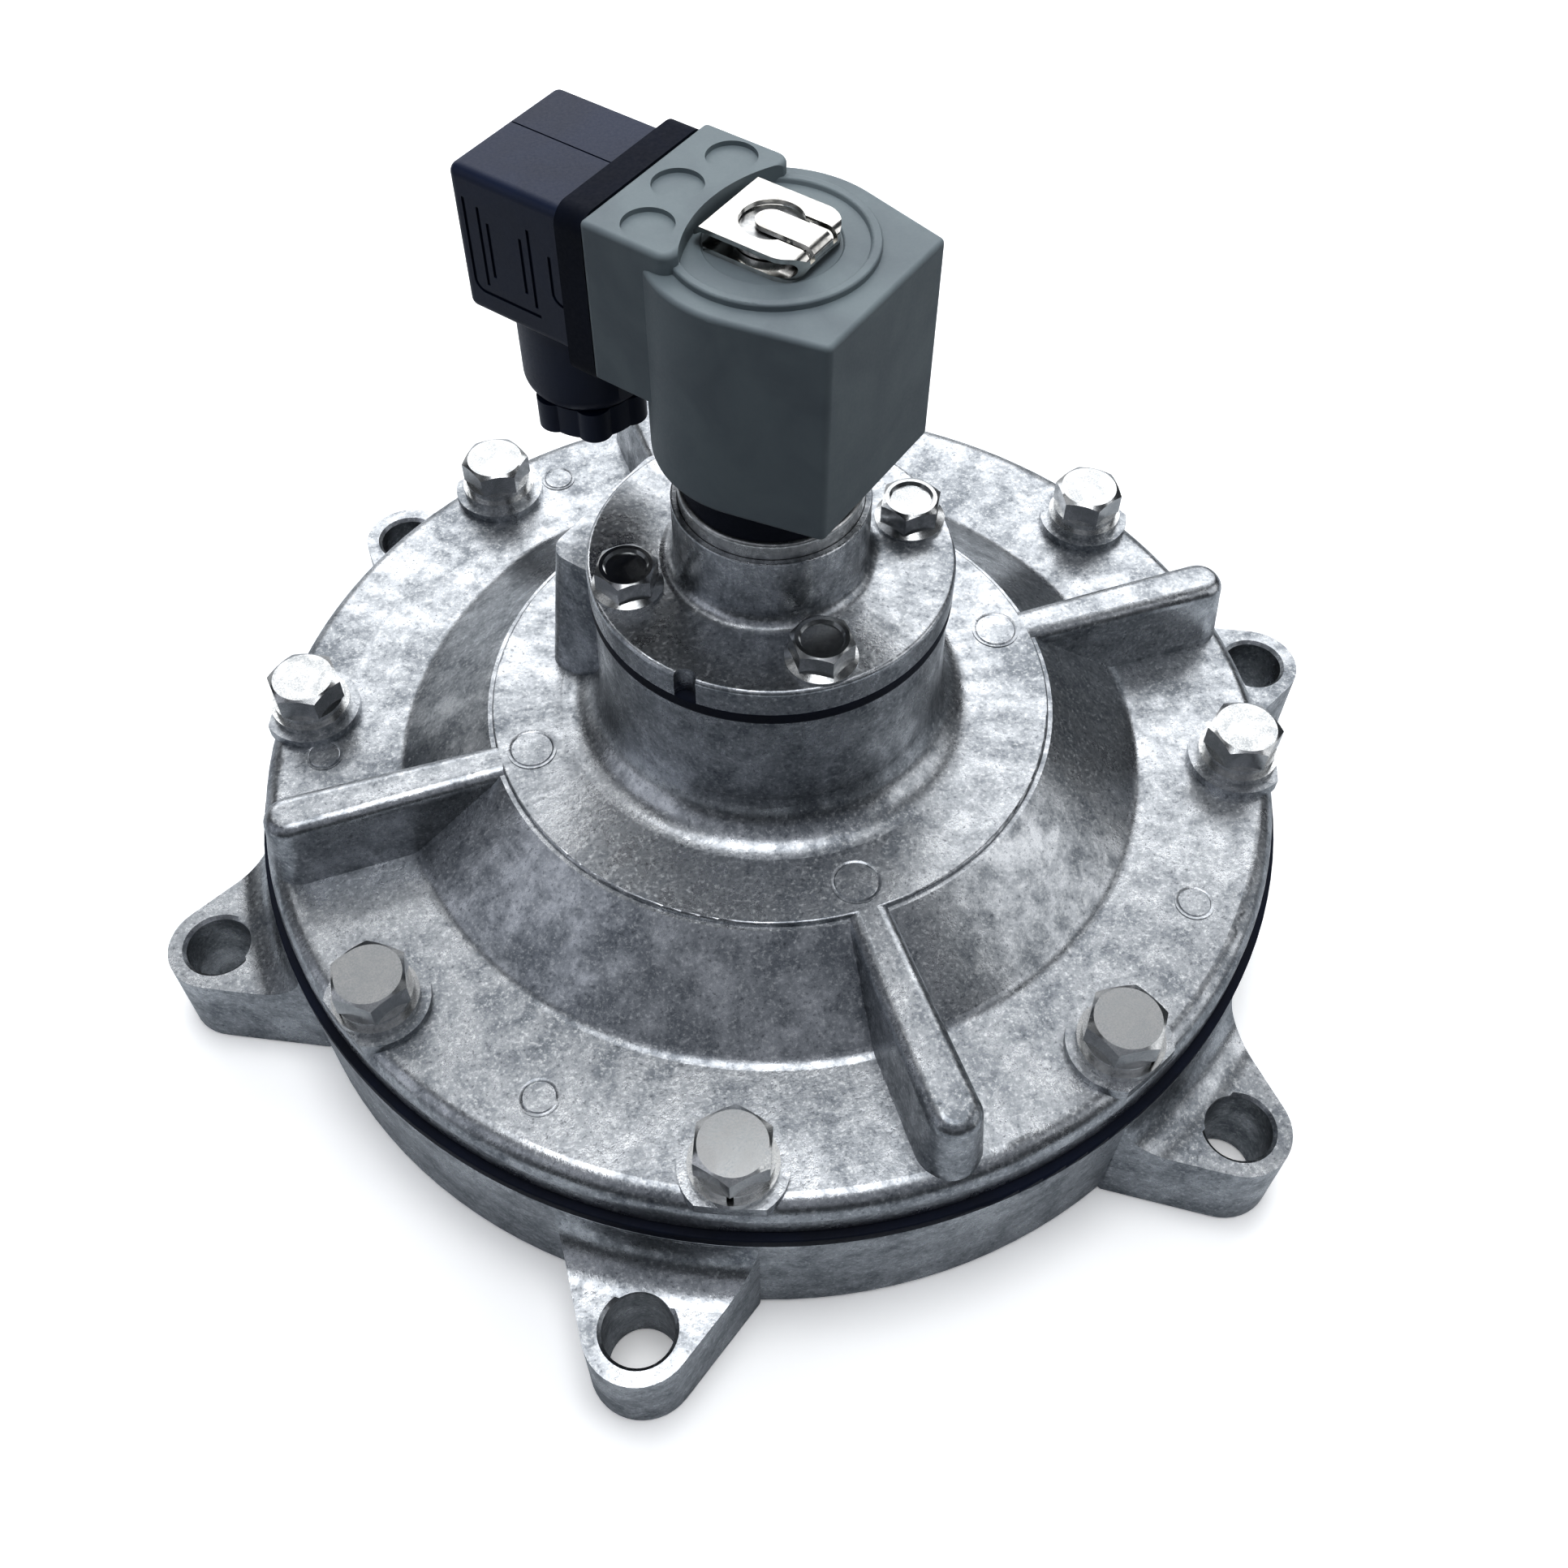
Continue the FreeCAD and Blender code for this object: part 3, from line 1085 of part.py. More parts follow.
def bodies():
    """Every piece of the valve by its name."""
    makers = [valve_body, main_diaphragm, main_seat_disc, main_retainer_plate, main_poppet_bolt,
              main_poppet_nut, main_spring, cover, pilot_diaphragm, pilot_valve_disc, pilot_spring,
              pilot_cap, stem_tube, fixed_core, plunger, plunger_seal, plunger_spring, coil_seal,
              coil_housing, coil_terminals, retaining_clip, connector_gasket, connector_housing,
              terminal_block, gland_nut, gland_seal, connector_screw]
    pieces = {maker.__name__: maker() for maker in makers}
    pieces["mounting_seal"] = mount_seal_ring()
    pieces["outlet_seal"] = outlet_seal_ring()
    for maker in (cover_bolt, cover_spring_washer, cover_flat_washer):
        for index, copy in enumerate(ring_of(maker(), COVER_BOLT_COUNT, cover_bolt_angle())):
            pieces["%s_%d" % (maker.__name__, index + 1)] = copy
    for index, copy in enumerate(ring_of(pilot_bolt(), PILOT_BOLT_COUNT)):
        pieces["pilot_bolt_%d" % (index + 1)] = copy
    return pieces


os.makedirs("parts", exist_ok=True)
for name, shape in bodies().items():
    shape.exportStep("parts/" + name + ".step")
    print("%-24s %9.1f mm3  solids %d  valid %s" % (name, shape.Volume, len(shape.Solids), shape.isValid()))
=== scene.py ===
# %% [markdown]
# # The looks of a dust collector pulse valve
# The solids of the valve are finished before this file starts: a cast body with six lugs, a cast cover with
# ribs, a pilot cap, a moulded coil and its plug. This file gives each of them the surface of the real thing,
# puts smooth copies in place of the springs, lets the diaphragms give way as the valve opens, adds the small
# marks that a casting carries, and sets up light and a camera.
# The first cell loads the finished solids. Everything here is in metres, with the valve's axis on Z.

# %% Load the solids
import json
import math

import bmesh
import bpy
from mathutils import Matrix, Vector
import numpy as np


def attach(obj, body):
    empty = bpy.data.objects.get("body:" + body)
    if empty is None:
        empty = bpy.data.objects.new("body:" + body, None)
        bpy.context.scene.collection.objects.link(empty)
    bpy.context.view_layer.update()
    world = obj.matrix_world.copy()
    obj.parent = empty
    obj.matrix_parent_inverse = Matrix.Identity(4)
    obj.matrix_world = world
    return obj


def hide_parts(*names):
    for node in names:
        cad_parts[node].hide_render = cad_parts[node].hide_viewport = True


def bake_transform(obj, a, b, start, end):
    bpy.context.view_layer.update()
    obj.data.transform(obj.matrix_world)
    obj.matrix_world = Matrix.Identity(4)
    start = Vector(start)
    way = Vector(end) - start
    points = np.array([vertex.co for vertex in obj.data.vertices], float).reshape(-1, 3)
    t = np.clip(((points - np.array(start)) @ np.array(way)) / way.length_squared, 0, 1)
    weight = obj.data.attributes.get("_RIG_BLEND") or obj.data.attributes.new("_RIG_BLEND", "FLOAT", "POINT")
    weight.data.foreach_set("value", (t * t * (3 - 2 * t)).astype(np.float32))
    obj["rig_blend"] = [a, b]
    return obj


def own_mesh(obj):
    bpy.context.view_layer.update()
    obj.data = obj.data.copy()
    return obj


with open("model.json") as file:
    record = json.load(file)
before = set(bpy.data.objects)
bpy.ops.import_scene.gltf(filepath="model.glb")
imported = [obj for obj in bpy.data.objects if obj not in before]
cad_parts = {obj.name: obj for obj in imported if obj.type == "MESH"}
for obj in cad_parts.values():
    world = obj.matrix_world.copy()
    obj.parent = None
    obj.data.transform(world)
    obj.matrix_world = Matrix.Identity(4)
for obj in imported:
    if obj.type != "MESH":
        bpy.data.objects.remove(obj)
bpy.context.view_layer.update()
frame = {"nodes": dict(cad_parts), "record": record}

MM = 0.001
SMOOTH_BELOW = math.radians(30)

# %% [markdown]
# ## Colours and nodes
# A colour is easiest to judge as the hex value that a screen shows, but a renderer adds light in linear
# numbers. One function turns the first into the second. A second function turns the size of a grain in
# millimetres into the scale that a noise texture wants, which is how many grains fit in a metre. A third adds
# a shader node, sets it and links it, so that each finish below reads from top to bottom like a recipe. The
# last one starts a finish, and hands over the coordinates that stay with the piece when it moves.

# %% Helpers for finishes
def linear(hex_colour):
    """The linear RGBA of an sRGB hex colour."""
    channels = []
    for start in (1, 3, 5):
        value = int(hex_colour[start:start + 2], 16) / 255
        channels.append(value / 12.92 if value <= 0.04045 else ((value + 0.055) / 1.055) ** 2.4)
    return (*channels, 1.0)


def per_grain(size_mm):
    """Texture scale for a grain of that size: how many fit in a metre."""
    return 1000.0 / size_mm


def add_node(tree, kind, settings, inputs):
    """Adds a node, sets its options, then fills its inputs with values or links."""
    made = tree.nodes.new(kind)
    for name, value in settings.items():
        setattr(made, name, value)
    for name, value in inputs.items():
        if isinstance(value, bpy.types.NodeSocket):
            tree.links.new(value, made.inputs[name])
        else:
            made.inputs[name].default_value = value
    return made


def new_finish(name):
    """An empty material with its shader, and the object coordinates that its patterns read."""
    material = bpy.data.materials.new(name)
    material.use_nodes = True
    tree = material.node_tree
    shader = tree.nodes["Principled BSDF"]
    place = add_node(tree, "ShaderNodeTexCoord", {}, {}).outputs["Object"]
    return material, tree, shader, place


# %% [markdown]
# ## Die-cast aluminium
# Body, cover and cap are high-pressure die castings, blasted but not painted. Four things make their look.
# Metal that chills against the die leaves cloudy patches some centimetres wide, with smaller flecks in them.
# Where it ran outwards from the middle it leaves streaks along its way. The blasting leaves a close grain;
# in the colour its bright specks are painted glints and its dark pits are painted shade. So there are four
# noises: two plain ones, one read along the direction from the axis, which draws it out into rays, and a fine
# one whose peaks are the painted glints and whose hollows are the painted shade in the pits. The first three
# are added up, and their sum changes colour and roughness together, because it is the roughness that makes a
# patch look dark beside a bright one. The real grain is a tenth of a millimetre, finer than a pixel here, so
# it is drawn at just under a millimetre.

# %% Finish: die-cast aluminium
CLOUD_MM, MOTTLE_MM, SPECK_MM = 22, 4.5, 0.8
CLOUD_SHARE, MOTTLE_SHARE, RAY_SHARE = 0.4, 0.35, 0.25
RAY_DRIFT = (3, 3, 16)  # how soon a streak changes on its way out and on its way up
RAY_SCALE = 9.0
FLASH_SHARE = 0.6       # how far a speck goes towards the colour of the painted glint
PIT_SHARE = 0.5         # how far a pit goes towards the colour of the painted shade in the pits
SPECK_ROUGHENS = 0.12
BLAST_RELIEF_MM = 0.07


def die_cast_aluminium(name, bright, dull, painted_glint, painted_pit_shade, smoothest, roughest):
    """Blasted casting: cloudy patches, rays from the axis, and a grain with painted glints and painted shade
    in its pits.
    """
    material, tree, shader, place = new_finish(name)
    cloud = add_node(tree, "ShaderNodeTexNoise", {},
                     {"Vector": place, "Scale": per_grain(CLOUD_MM), "Detail": 6.0, "Roughness": 0.68,
                      "Distortion": 0.6})
    level = add_node(tree, "ShaderNodeVectorMath", {"operation": "MULTIPLY"}, {0: place, 1: (1, 1, 0)})
    ray = add_node(tree, "ShaderNodeVectorMath", {"operation": "NORMALIZE"}, {0: level.outputs[0]})
    drift = add_node(tree, "ShaderNodeVectorMath", {"operation": "MULTIPLY_ADD"},
                     {0: place, 1: RAY_DRIFT, 2: ray.outputs[0]})
    streak = add_node(tree, "ShaderNodeTexNoise", {},
                      {"Vector": drift.outputs[0], "Scale": RAY_SCALE, "Detail": 5.0, "Roughness": 0.6})
    speck = add_node(tree, "ShaderNodeTexNoise", {},
                     {"Vector": place, "Scale": per_grain(SPECK_MM), "Detail": 3.0, "Roughness": 0.75})
    mottle = add_node(tree, "ShaderNodeTexNoise", {},
                      {"Vector": place, "Scale": per_grain(MOTTLE_MM), "Detail": 5.0, "Roughness": 0.7,
                       "Distortion": 0.4})
    fine_part = add_node(tree, "ShaderNodeMath", {"operation": "MULTIPLY"},
                         {0: mottle.outputs["Fac"], 1: MOTTLE_SHARE})
    ray_part = add_node(tree, "ShaderNodeMath", {"operation": "MULTIPLY_ADD"},
                        {0: streak.outputs["Fac"], 1: RAY_SHARE, 2: fine_part.outputs[0]})
    flow = add_node(tree, "ShaderNodeMath", {"operation": "MULTIPLY_ADD"},
                    {0: cloud.outputs["Fac"], 1: CLOUD_SHARE, 2: ray_part.outputs[0]})
    patch = add_node(tree, "ShaderNodeMapRange", {},
                     {"Value": flow.outputs[0], "From Min": 0.42, "From Max": 0.58})
    grain = add_node(tree, "ShaderNodeMapRange", {},
                     {"Value": speck.outputs["Fac"], "From Min": 0.52, "From Max": 0.72})
    ground = add_node(tree, "ShaderNodeMix", {"data_type": "RGBA"},
                      {0: patch.outputs[0], 6: linear(dull), 7: linear(bright)})
    # Painted glints: the peaks of the grain are lightened in the colour towards near-white.
    flash = add_node(tree, "ShaderNodeMath", {"operation": "MULTIPLY"},
                     {0: grain.outputs[0], 1: FLASH_SHARE})
    sparkled = add_node(tree, "ShaderNodeMix", {"data_type": "RGBA"},
                        {0: flash.outputs[0], 6: ground.outputs[2], 7: linear(painted_glint)})
    # Painted shade: the hollows of the grain are darkened in the colour, as shade in the pits would darken
    # them.
    pit = add_node(tree, "ShaderNodeMapRange", {},
                   {"Value": speck.outputs["Fac"], "From Min": 0.42, "From Max": 0.32,
                    "To Max": PIT_SHARE})
    colour = add_node(tree, "ShaderNodeMix", {"data_type": "RGBA"},
                      {0: pit.outputs[0], 6: sparkled.outputs[2], 7: linear(painted_pit_shade)})
    tree.links.new(colour.outputs[2], shader.inputs["Base Color"])
    rough = add_node(tree, "ShaderNodeMapRange", {},
                     {"Value": patch.outputs[0], "To Min": roughest, "To Max": smoothest})
    dusty = add_node(tree, "ShaderNodeMath", {"operation": "MULTIPLY_ADD"},
                     {0: grain.outputs[0], 1: SPECK_ROUGHENS, 2: rough.outputs[0]})
    tree.links.new(dusty.outputs[0], shader.inputs["Roughness"])
    shader.inputs["Metallic"].default_value = 1.0
    bump = add_node(tree, "ShaderNodeBump", {},
                    {"Height": speck.outputs["Fac"], "Strength": 0.6, "Distance": BLAST_RELIEF_MM * MM})
    tree.links.new(bump.outputs["Normal"], shader.inputs["Normal"])
    return material


# The darkest colour is painted shade for the pits of the grain, and the lightest a painted glint for its
# specks.
cast = die_cast_aluminium("die_cast_aluminium", bright="#c8cbcf", dull="#868b91", painted_glint="#f2f4f5",
                          painted_pit_shade="#4a4e54", smoothest=0.23, roughest=0.38)
print("finish:", cast.name)

# %% [markdown]
# ## Bare metals
# Bolts, washers, stem and clip are bare stainless steel. Cold-headed bolts have a smooth, faintly wavy skin
# with soft reflections, and handling leaves stains a few millimetres wide. One noise has the size of the
# waves and one that of the stains. Their sum changes colour and roughness, which keeps the reflections from
# looking like a mirror, and the first noise as a bump makes the skin wave. Spring wire, the turned aluminium
# of the poppets and the tinned brass of the pins have the same kind of skin in other colours, so one recipe
# makes them all.

# %% Finish: bare metals
STAIN_MM = 5
STAINED_ROUGHER, CLEAN_SMOOTHER = 0.08, 0.05
WAVE_RELIEF_MM = 0.02


def bare_metal(name, colour, stain, roughness, grain_mm):
    """Bare metal with a faint stain and waves of one size."""
    material, tree, shader, place = new_finish(name)
    wave = add_node(tree, "ShaderNodeTexNoise", {},
                    {"Vector": place, "Scale": per_grain(grain_mm), "Detail": 3.0, "Roughness": 0.55})
    patch = add_node(tree, "ShaderNodeTexNoise", {},
                     {"Vector": place, "Scale": per_grain(STAIN_MM), "Detail": 2.0, "Distortion": 1.0})
    blend = add_node(tree, "ShaderNodeMath", {"operation": "ADD"},
                     {0: wave.outputs["Fac"], 1: patch.outputs["Fac"]})
    tone = add_node(tree, "ShaderNodeMapRange", {},
                    {"Value": blend.outputs[0], "From Min": 0.75, "From Max": 1.25})
    skin = add_node(tree, "ShaderNodeMix", {"data_type": "RGBA"},
                    {0: tone.outputs[0], 6: linear(stain), 7: linear(colour)})
    tree.links.new(skin.outputs[2], shader.inputs["Base Color"])
    rough = add_node(tree, "ShaderNodeMapRange", {},
                     {"Value": tone.outputs[0], "To Min": roughness + STAINED_ROUGHER,
                      "To Max": roughness - CLEAN_SMOOTHER})
    tree.links.new(rough.outputs[0], shader.inputs["Roughness"])
    shader.inputs["Metallic"].default_value = 1.0
    bump = add_node(tree, "ShaderNodeBump", {},
                    {"Height": wave.outputs["Fac"], "Strength": 0.15, "Distance": WAVE_RELIEF_MM * MM})
    tree.links.new(bump.outputs["Normal"], shader.inputs["Normal"])
    return material


# Name, colour, colour of the stain, roughness, and size of the waves in millimetres.
bolt_steel = bare_metal("cold_headed_stainless", "#cbcccd", "#a9acae", 0.19, 0.35)
washer_steel = bare_metal("pressed_stainless", "#dadbdb", "#b0b2b4", 0.2, 0.5)
stem_steel = bare_metal("turned_stainless", "#cfd0d0", "#9c9ea0", 0.28, 1.1)
clip_steel = bare_metal("rolled_stainless_strip", "#e6e5e2", "#b4b3b0", 0.14, 2.0)
wire_steel = bare_metal("drawn_spring_wire", "#b9babb", "#7f8182", 0.3, 0.8)
plate_alloy = bare_metal("turned_aluminium", "#d4d6d8", "#a9adb0", 0.3, 1.2)
tinned_brass = bare_metal("tinned_brass", "#cfc6a4", "#a69b76", 0.28, 1.0)
print("finishes: seven bare metals")

# %% [markdown]
# ## Moulded plastic and rubber
# The coil is moulded in glass-filled nylon, a grey that scatters light softly and shows faint swirls where
# the fibres flowed. The plug is black nylon with a little more sheen; its deep blue is a painted cast of
# studio light.
# Diaphragms and gaskets are matt rubber, black with soot, and mirror less than nylon does. They differ in
# colour, roughness, strength of the sheen and size of the grain, so one recipe with those as its values
# covers them.

# %% Finish: plastics and rubbers
SWIRL_MM = 14
HOLLOWS_SMOOTHER, PEAKS_ROUGHER = 0.05, 0.06


def moulded(name, colour, shade, roughness, gloss, grain_mm, relief_mm):
    """Moulded skin: faint swirls in the colour and a fine grain in the gloss."""
    material, tree, shader, place = new_finish(name)
    swirl = add_node(tree, "ShaderNodeTexNoise", {},
                     {"Vector": place, "Scale": per_grain(SWIRL_MM), "Detail": 4.0, "Distortion": 0.7})
    grain = add_node(tree, "ShaderNodeTexNoise", {},
                     {"Vector": place, "Scale": per_grain(grain_mm), "Detail": 2.0, "Roughness": 0.5})
    tone = add_node(tree, "ShaderNodeMapRange", {},
                    {"Value": swirl.outputs["Fac"], "From Min": 0.35, "From Max": 0.65})
    skin = add_node(tree, "ShaderNodeMix", {"data_type": "RGBA"},
                    {0: tone.outputs[0], 6: linear(shade), 7: linear(colour)})
    tree.links.new(skin.outputs[2], shader.inputs["Base Color"])
    rough = add_node(tree, "ShaderNodeMapRange", {},
                     {"Value": grain.outputs["Fac"], "From Min": 0.3, "From Max": 0.7,
                      "To Min": roughness - HOLLOWS_SMOOTHER, "To Max": roughness + PEAKS_ROUGHER})
    tree.links.new(rough.outputs[0], shader.inputs["Roughness"])
    bump = add_node(tree, "ShaderNodeBump", {},
                    {"Height": grain.outputs["Fac"], "Strength": 0.3, "Distance": relief_mm * MM})
    tree.links.new(bump.outputs["Normal"], shader.inputs["Normal"])
    shader.inputs["Specular IOR Level"].default_value = gloss
    return material


# Name, two colours, roughness, strength of the sheen, and size and relief of the grain in millimetres.
coil_nylon = moulded("glass_filled_nylon_grey", "#7b868b", "#707a80", 0.5, 0.5, 0.5, 0.04)
# The plug's deep blue is a painted cast of the studio light on black nylon.
plug_nylon = moulded("nylon_black", "#13223f", "#0f1c36", 0.4, 0.42, 0.5, 0.03)
gasket_rubber = moulded("nitrile_rubber_black", "#081226", "#060e1d", 0.62, 0.2, 0.6, 0.04)
diaphragm_rubber = moulded("fabric_reinforced_rubber", "#0a152b", "#070f20", 0.55, 0.25, 0.7, 0.06)
print("finishes: four mouldings")

# %% [markdown]
# ## Give every solid its finish
# The record names a material slot for each solid, so the finishes are handed out by slot. The clip is the one
# solid that shares a slot but is rolled strip, which is brighter, so it is set by name.

# %% Hand out the finishes
finish_of_slot = {
    "cast_aluminium": cast,
    "turned_aluminium": plate_alloy,
    "diaphragm_rubber": diaphragm_rubber,
    "seal_rubber": gasket_rubber,
    "bolt_steel": bolt_steel,
    "washer_steel": washer_steel,
    "stem_steel": stem_steel,
    "spring_steel": wire_steel,
    "terminal_brass": tinned_brass,
    "coil_plastic": coil_nylon,
    "connector_plastic": plug_nylon,
    "gasket_rubber": gasket_rubber,
}
for entry in frame["record"]["subparts"]:
    solid = frame["nodes"][entry["node"]]
    finish = clip_steel if entry["node"] == "retaining_clip" else finish_of_slot[entry["material_slot"]]
    solid.data.materials.clear()
    solid.data.materials.append(finish)

# %% [markdown]
# ## Springs
# Inside the valve three springs shorten as the pieces on them lift. A rigid spring would be cut by its seat
# at the end of the stroke. Here each is only a copy of its solid, with loose triangles merged and smooth
# shading, that stands in for it and keeps its length. It rides on the base, because its upper end stays
# where it is. A spring could also be wound again from a curve for every length, but inside the closed valve
# it doesn't show that its wire gets flatter too.

# %% Springs
SAME_POINT_MM = 0.001


def select_none():
    """Leaves edit mode and clears the selection."""
    if bpy.context.mode != "OBJECT":
        bpy.ops.object.mode_set(mode="OBJECT")
    bpy.ops.object.select_all(action="DESELECT")


def supple_copy(node, cuts=0):
    """A merged and smooth copy of a solid, cut finer if it has to bend, that stands in for it."""
    select_none()
    source = frame["nodes"][node]
    twin = bpy.data.objects.new("supple_" + node, source.data.copy())
    bpy.context.collection.objects.link(twin)
    bpy.context.view_layer.objects.active = twin
    twin.select_set(True)
    bpy.ops.object.mode_set(mode="EDIT")
    bpy.ops.mesh.select_all(action="SELECT")
    bpy.ops.mesh.remove_doubles(threshold=SAME_POINT_MM * MM)
    if cuts:
        bpy.ops.mesh.subdivide(number_cuts=cuts)
    bpy.ops.object.mode_set(mode="OBJECT")
    bpy.ops.object.shade_smooth_by_angle(angle=SMOOTH_BELOW)
    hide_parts(node)
    return twin


for spring, lift in (("main_spring", "main_valve_lift"), ("pilot_spring", "pilot_valve_lift"),
                     ("plunger_spring", "plunger_lift")):
    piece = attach(supple_copy(spring), "base")
    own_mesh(piece)

# %% [markdown]
# ## Diaphragms that roll
# A diaphragm is clamped all round its edge, and its middle goes up with the poppet. The rubber between rolls.
# blend() makes a piece follow two bodies, but it measures from one to the other along a straight line, and a
# diaphragm moves by rings. So its weights are set again from the distance to the axis: one inside the plates
# that grip the middle, none in the clamped edge, and a smooth step between.

# %% Diaphragms
def rolling_diaphragm(node, poppet, grip_mm, clamp_mm, cuts=0):
    """A diaphragm whose middle, as far as the grip, follows the poppet while its clamped edge stays."""
    piece = supple_copy(node, cuts)
    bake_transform(piece, "base", poppet, start=(clamp_mm * MM, 0, 0), end=(grip_mm * MM, 0, 0))
    weights = piece.data.attributes["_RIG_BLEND"].data
    for vertex in piece.data.vertices:
        reach = math.hypot(vertex.co.x, vertex.co.y) / MM
        share = min(1.0, max(0.0, (clamp_mm - reach) / (clamp_mm - grip_mm)))
        weights[vertex.index].value = share * share * (3 - 2 * share)
    return piece


for made in (rolling_diaphragm("main_diaphragm", "main_poppet", grip_mm=46.0, clamp_mm=85.0),
             rolling_diaphragm("pilot_diaphragm", "pilot_poppet", grip_mm=10.0, clamp_mm=19.5, cuts=5)):
    print(made.name, "with", len(made.data.vertices), "points")

# %% [markdown]
# ## Ejector marks on the cover
# When a casting comes off the die, pins push it out, and each pin leaves a round mark, a thin disc that
# stands a hair above the skin with a fine line round it. There are four on the rim and four at the roots of
# the ribs. Each is a low cylinder, half of it inside the casting. Its top is inset three times, and the ring
# between is pushed down to make the line. They are shapes and not a bump, because their edges catch light.

# %% Ejector marks
MARK_STANDS_MM = 0.16
LAND_MM = 0.35
LINE_OUTER_SLOPE_MM, LINE_INNER_SLOPE_MM = 0.3, 0.2
LINE_DEPTH_MM = 0.14


def pin_mark(name, radius_mm, x_mm, y_mm, z_mm):
    """A low disc with a fine sunk line just inside its edge."""
    select_none()
    bpy.ops.mesh.primitive_cylinder_add(vertices=48, radius=radius_mm * MM, depth=2 * MARK_STANDS_MM * MM,
                                        location=(x_mm * MM, y_mm * MM, z_mm * MM))
    mark = bpy.context.active_object
    mark.name = name
    bpy.ops.object.mode_set(mode="EDIT")
    bpy.ops.mesh.select_all(action="DESELECT")
    mesh = bmesh.from_edit_mesh(mark.data)
    for face in mesh.faces:
        face.select = face.normal.z > 0.9  # the top alone
    bmesh.update_edit_mesh(mark.data)
    bpy.ops.mesh.inset(thickness=LAND_MM * MM)
    bpy.ops.mesh.inset(thickness=LINE_OUTER_SLOPE_MM * MM)
    bpy.ops.transform.translate(value=(0, 0, -LINE_DEPTH_MM * MM))
    bpy.ops.mesh.inset(thickness=LINE_INNER_SLOPE_MM * MM)
    bpy.ops.transform.translate(value=(0, 0, LINE_DEPTH_MM * MM))
    select_none()
    mark.select_set(True)
    bpy.context.view_layer.objects.active = mark
    bpy.ops.object.transform_apply(location=True, rotation=True, scale=True)
    bpy.ops.object.shade_smooth_by_angle(angle=SMOOTH_BELOW)
    mark.data.materials.append(cast)
    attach(mark, "base")


# Where they are, their radius, how far from the axis and how high they stand, and their angles in degrees.
for spot, radius_mm, away_mm, top_mm, angles in (("rim", 3.8, 90.9, 40.3, (104.3, 164.7, 224.7, 314.6)),
                                                 ("root", 4.75, 48.5, 55.4, (0, 90, 180, 270))):
    for number, angle in enumerate(angles, start=1):
        turn = math.radians(angle)
        pin_mark("%s_pin_mark_%d" % (spot, number), radius_mm, away_mm * math.cos(turn),
                 away_mm * math.sin(turn), top_mm)
print("pin marks: 8")

# %% [markdown]
# ## Floor and backdrop
# The valve stands on a white sheet in a white room, as in a catalogue. A real white sheet would also throw
# light up its sides and show in the metal, and the photograph has dark sides there. So the sheet and the
# room round it are seen by the camera only. What the metal mirrors below it is a greyer table top, a
# hair's breadth lower, which the camera doesn't see. The sheet glows more with the distance from the valve,
# so that it is pure white before it meets the room, while the soft shadow at the lugs still shows.

# %% Floor and backdrop
FLOOR_M = 6.0
ROOM_RADIUS_M = 3.5
SHEET_BELOW_MM, TABLE_BELOW_MM = 0.5, 1.0
SHADOW_REACH_M, WHITE_FROM_M = 0.2, 0.8
SHEET_GLOW = 0.25


def stage_piece(name, colour):
    """Makes the active object a piece of the stage that lights nothing matt and casts no shadow."""
    piece = bpy.context.active_object
    piece.name = name
    finish, tree, shader, place = new_finish(name + "_finish")
    shader.inputs["Base Color"].default_value = linear(colour)
    shader.inputs["Roughness"].default_value = 0.9
    piece.data.materials.append(finish)
    piece.visible_diffuse = False
    piece.visible_shadow = False
    return piece, tree, shader, place


select_none()
bpy.ops.mesh.primitive_plane_add(size=FLOOR_M, location=(0, 0, -SHEET_BELOW_MM * MM))
sheet, tree, shader, place = stage_piece("white_floor", "#f4f5f6")
away = add_node(tree, "ShaderNodeVectorMath", {"operation": "LENGTH"}, {0: place})
glow = add_node(tree, "ShaderNodeMapRange", {},
                {"Value": away.outputs["Value"], "From Min": SHADOW_REACH_M, "From Max": WHITE_FROM_M,
                 "To Min": SHEET_GLOW})
tree.links.new(glow.outputs[0], shader.inputs["Emission Strength"])
shader.inputs["Emission Color"].default_value = linear("#ffffff")
sheet.visible_glossy = False

select_none()
bpy.ops.mesh.primitive_plane_add(size=FLOOR_M, location=(0, 0, -TABLE_BELOW_MM * MM))
table = stage_piece("grey_table", "#c4c8cc")[0]
table.visible_camera = False

select_none()
bpy.ops.mesh.primitive_uv_sphere_add(segments=48, ring_count=24, radius=ROOM_RADIUS_M)
backdrop, tree, shader, place = stage_piece("white_backdrop", "#ffffff")
shader.inputs["Emission Color"].default_value = linear("#ffffff")
shader.inputs["Emission Strength"].default_value = 1.0
backdrop.visible_glossy = False
print("stage:", sheet.name, table.name, backdrop.name)

# %% [markdown]
# ## Light
# Bare metal looks like whatever it reflects, so the light is most of its look. The flat faces mirror what is
# behind the valve and above it, so a large soft panel there gives them their bright sheen. The slopes that
# face the viewer mirror the room behind the viewer, and it is left dark, so that they stay dark grey. Small
# panels at the left and right draw the edges and the ribs. Two lamps hang straight above. One shows in the
# metal and one doesn't, because a single one bright enough to light the coil's top would burn out the
# flat faces for a viewer who looks straight down.

# %% Light
AIM_AT = Vector((0, 0, 0.06))


def soft_panel(name, place_m, size_m, watts, colour="#ffffff"):
    """A rectangular lamp that faces the valve."""
    select_none()
    bpy.ops.object.light_add(type="AREA", location=place_m)
    lamp = bpy.context.active_object
    lamp.name = name
    lamp.data.shape = "RECTANGLE"
    lamp.data.size, lamp.data.size_y = size_m
    lamp.data.energy = watts
    lamp.data.color = linear(colour)[:3]
    aim = AIM_AT - Vector(place_m)
    lamp.rotation_euler = aim.to_track_quat("-Z", "Y").to_euler()
    return lamp


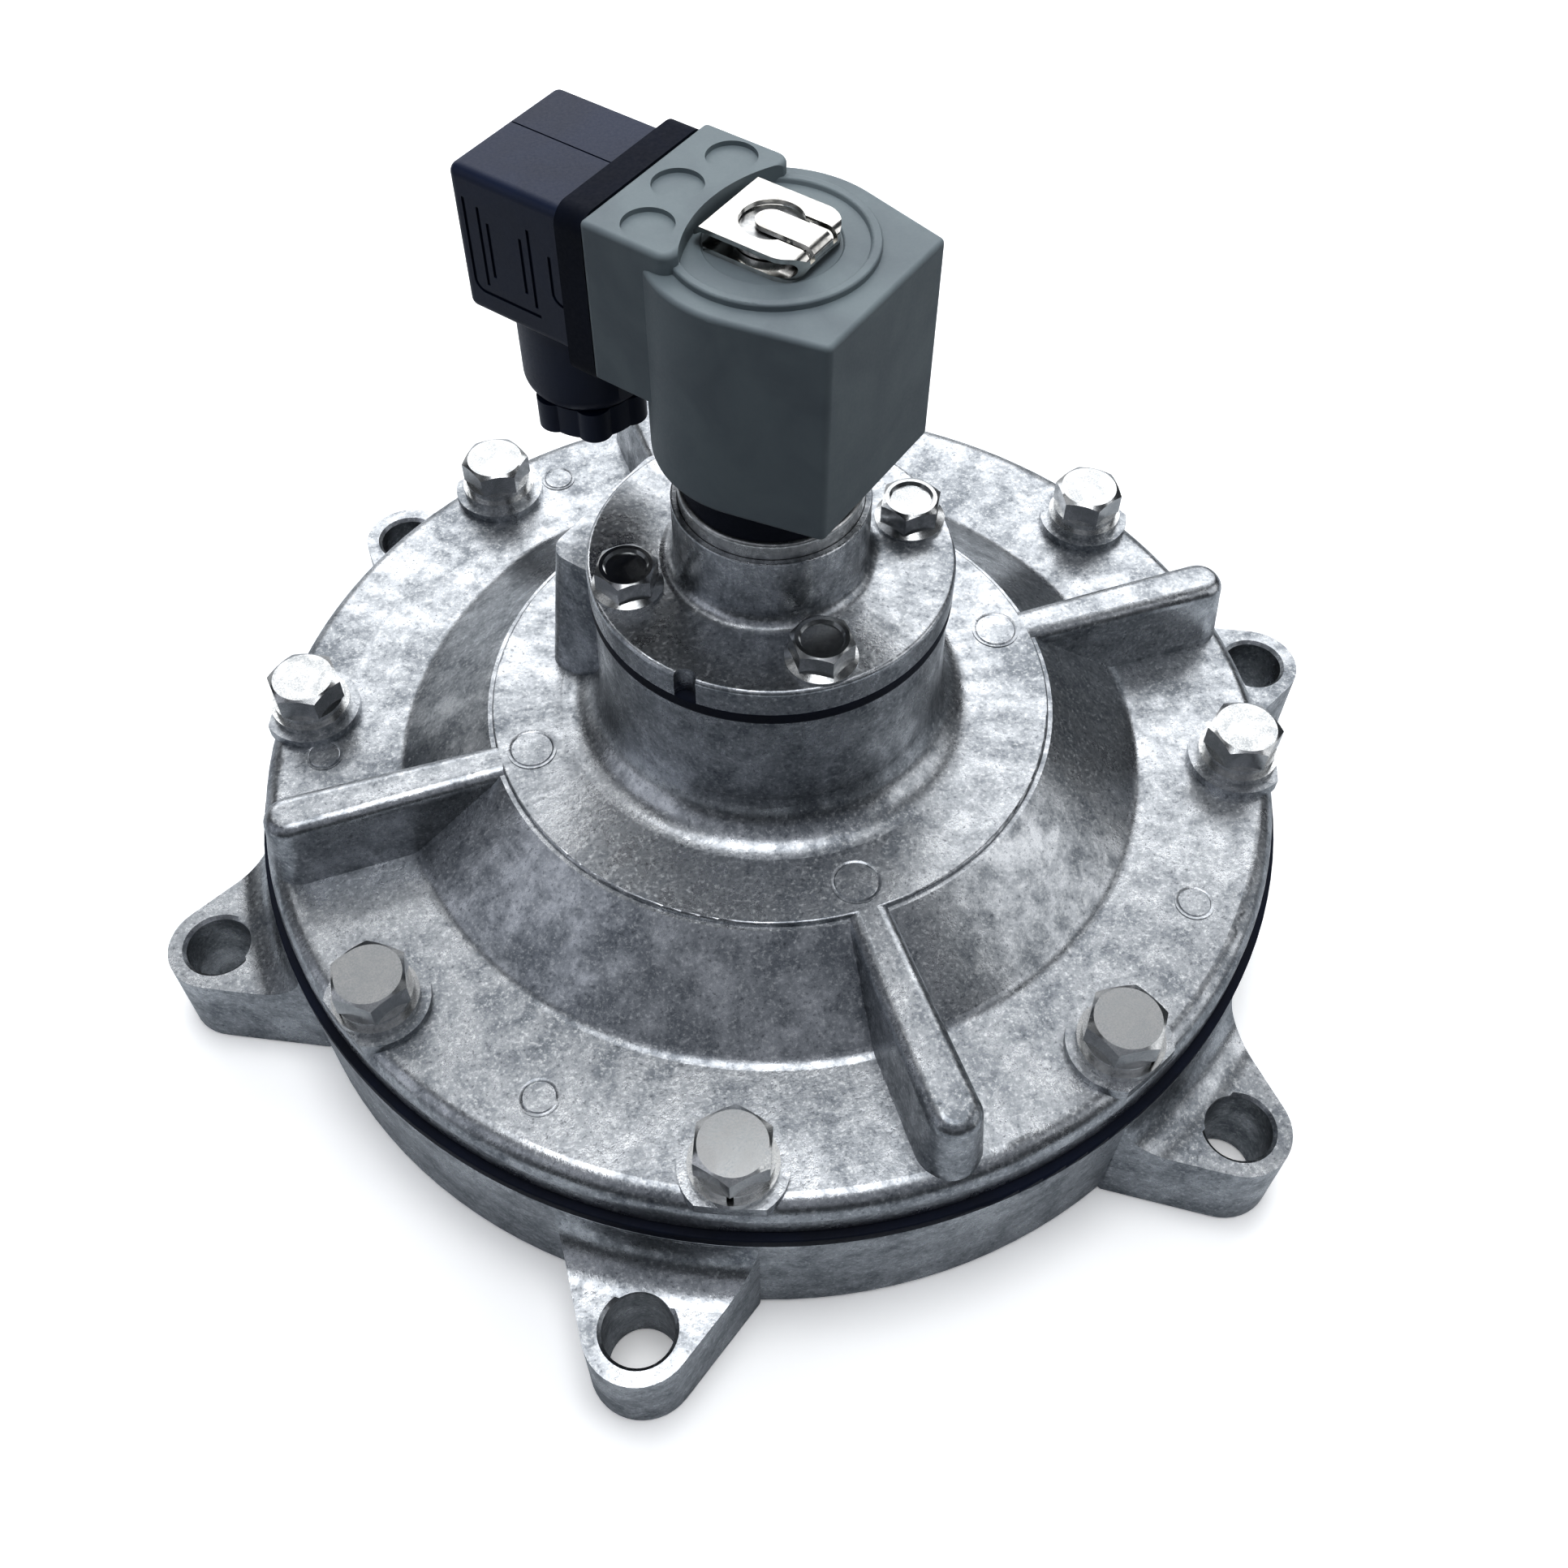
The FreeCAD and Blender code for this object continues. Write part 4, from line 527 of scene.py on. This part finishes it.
# Name, place and size in metres, watts, and a colour where it isn't white.
# The sheen of the flat faces: the main panel, one low behind the valve, and one that closes the gap above.
soft_panel("panel_back", (0.36, 1.05, 0.92), (2.3, 0.85), 13.2)
soft_panel("panel_low", (-0.1, 1.25, 0.24), (2.6, 0.5), 2.6)
soft_panel("panel_high", (0.05, 0.50, 1.32), (2.0, 0.65), 2.7)
# A faint cool fill from the viewer's side, and one panel at each hand for the edges and the ribs.
soft_panel("panel_front", (-0.24, -0.70, 1.05), (1.8, 1.2), 2.6, "#f6f8ff")
soft_panel("panel_left", (-1.05, 0.00, 0.55), (0.9, 0.9), 1.9, "#f6f8ff")
soft_panel("panel_right", (0.90, -0.40, 0.60), (0.8, 0.8), 2.6)
# Straight above.
soft_panel("panel_top", (0.0, 0.0, 1.45), (0.75, 0.75), 6.0)
overhead = soft_panel("overhead_fill", (0.0, 0.0, 1.45), (0.5, 0.5), 6.5)
overhead.visible_glossy = False

room = bpy.context.scene.world or bpy.data.worlds.new("room")
bpy.context.scene.world = room
room.use_nodes = True
room.node_tree.nodes["Background"].inputs["Color"].default_value = linear("#c8ced6")
room.node_tree.nodes["Background"].inputs["Strength"].default_value = 0.12
bpy.context.scene.view_settings.view_transform = "Standard"
bpy.context.scene.view_settings.gamma = 0.8

# %% [markdown]
# ## Camera
# The camera stands where the photographer stood: above the valve and to its front left, close enough for the
# near lugs to look large. Its place, its line of sight and its slight roll were found from round and upright
# edges whose real shape is known. The lens follows from the width of the picture in pixels.

# %% Camera
CAMERA_AT = Vector((-67.2, -196.6, 302.7)) * MM
CAMERA_LOOK = Vector((0.2010, 0.5620, -0.8023)).normalized()
CAMERA_ROLL = math.radians(0.84)
FOCAL_PIXELS = 2001.0
PICTURE_PIXELS = 1932.0
SENSOR_MM = 36.0

right = CAMERA_LOOK.cross(Vector((0, 0, 1))).normalized()
above = right.cross(CAMERA_LOOK)
tilted_right = right * math.cos(CAMERA_ROLL) + above * math.sin(CAMERA_ROLL)
tilted_up = tilted_right.cross(CAMERA_LOOK)
select_none()
bpy.ops.object.camera_add()
camera = bpy.context.active_object
camera.name = "camera"
camera.data.sensor_width = SENSOR_MM
camera.data.lens = FOCAL_PIXELS / PICTURE_PIXELS * SENSOR_MM
camera.data.clip_start = 5 * MM
camera.matrix_world = Matrix.Translation(CAMERA_AT) @ Matrix(
    (tilted_right, tilted_up, -CAMERA_LOOK)).transposed().to_4x4()
bpy.context.scene.camera = camera
print("lens:", round(camera.data.lens, 2), "mm")
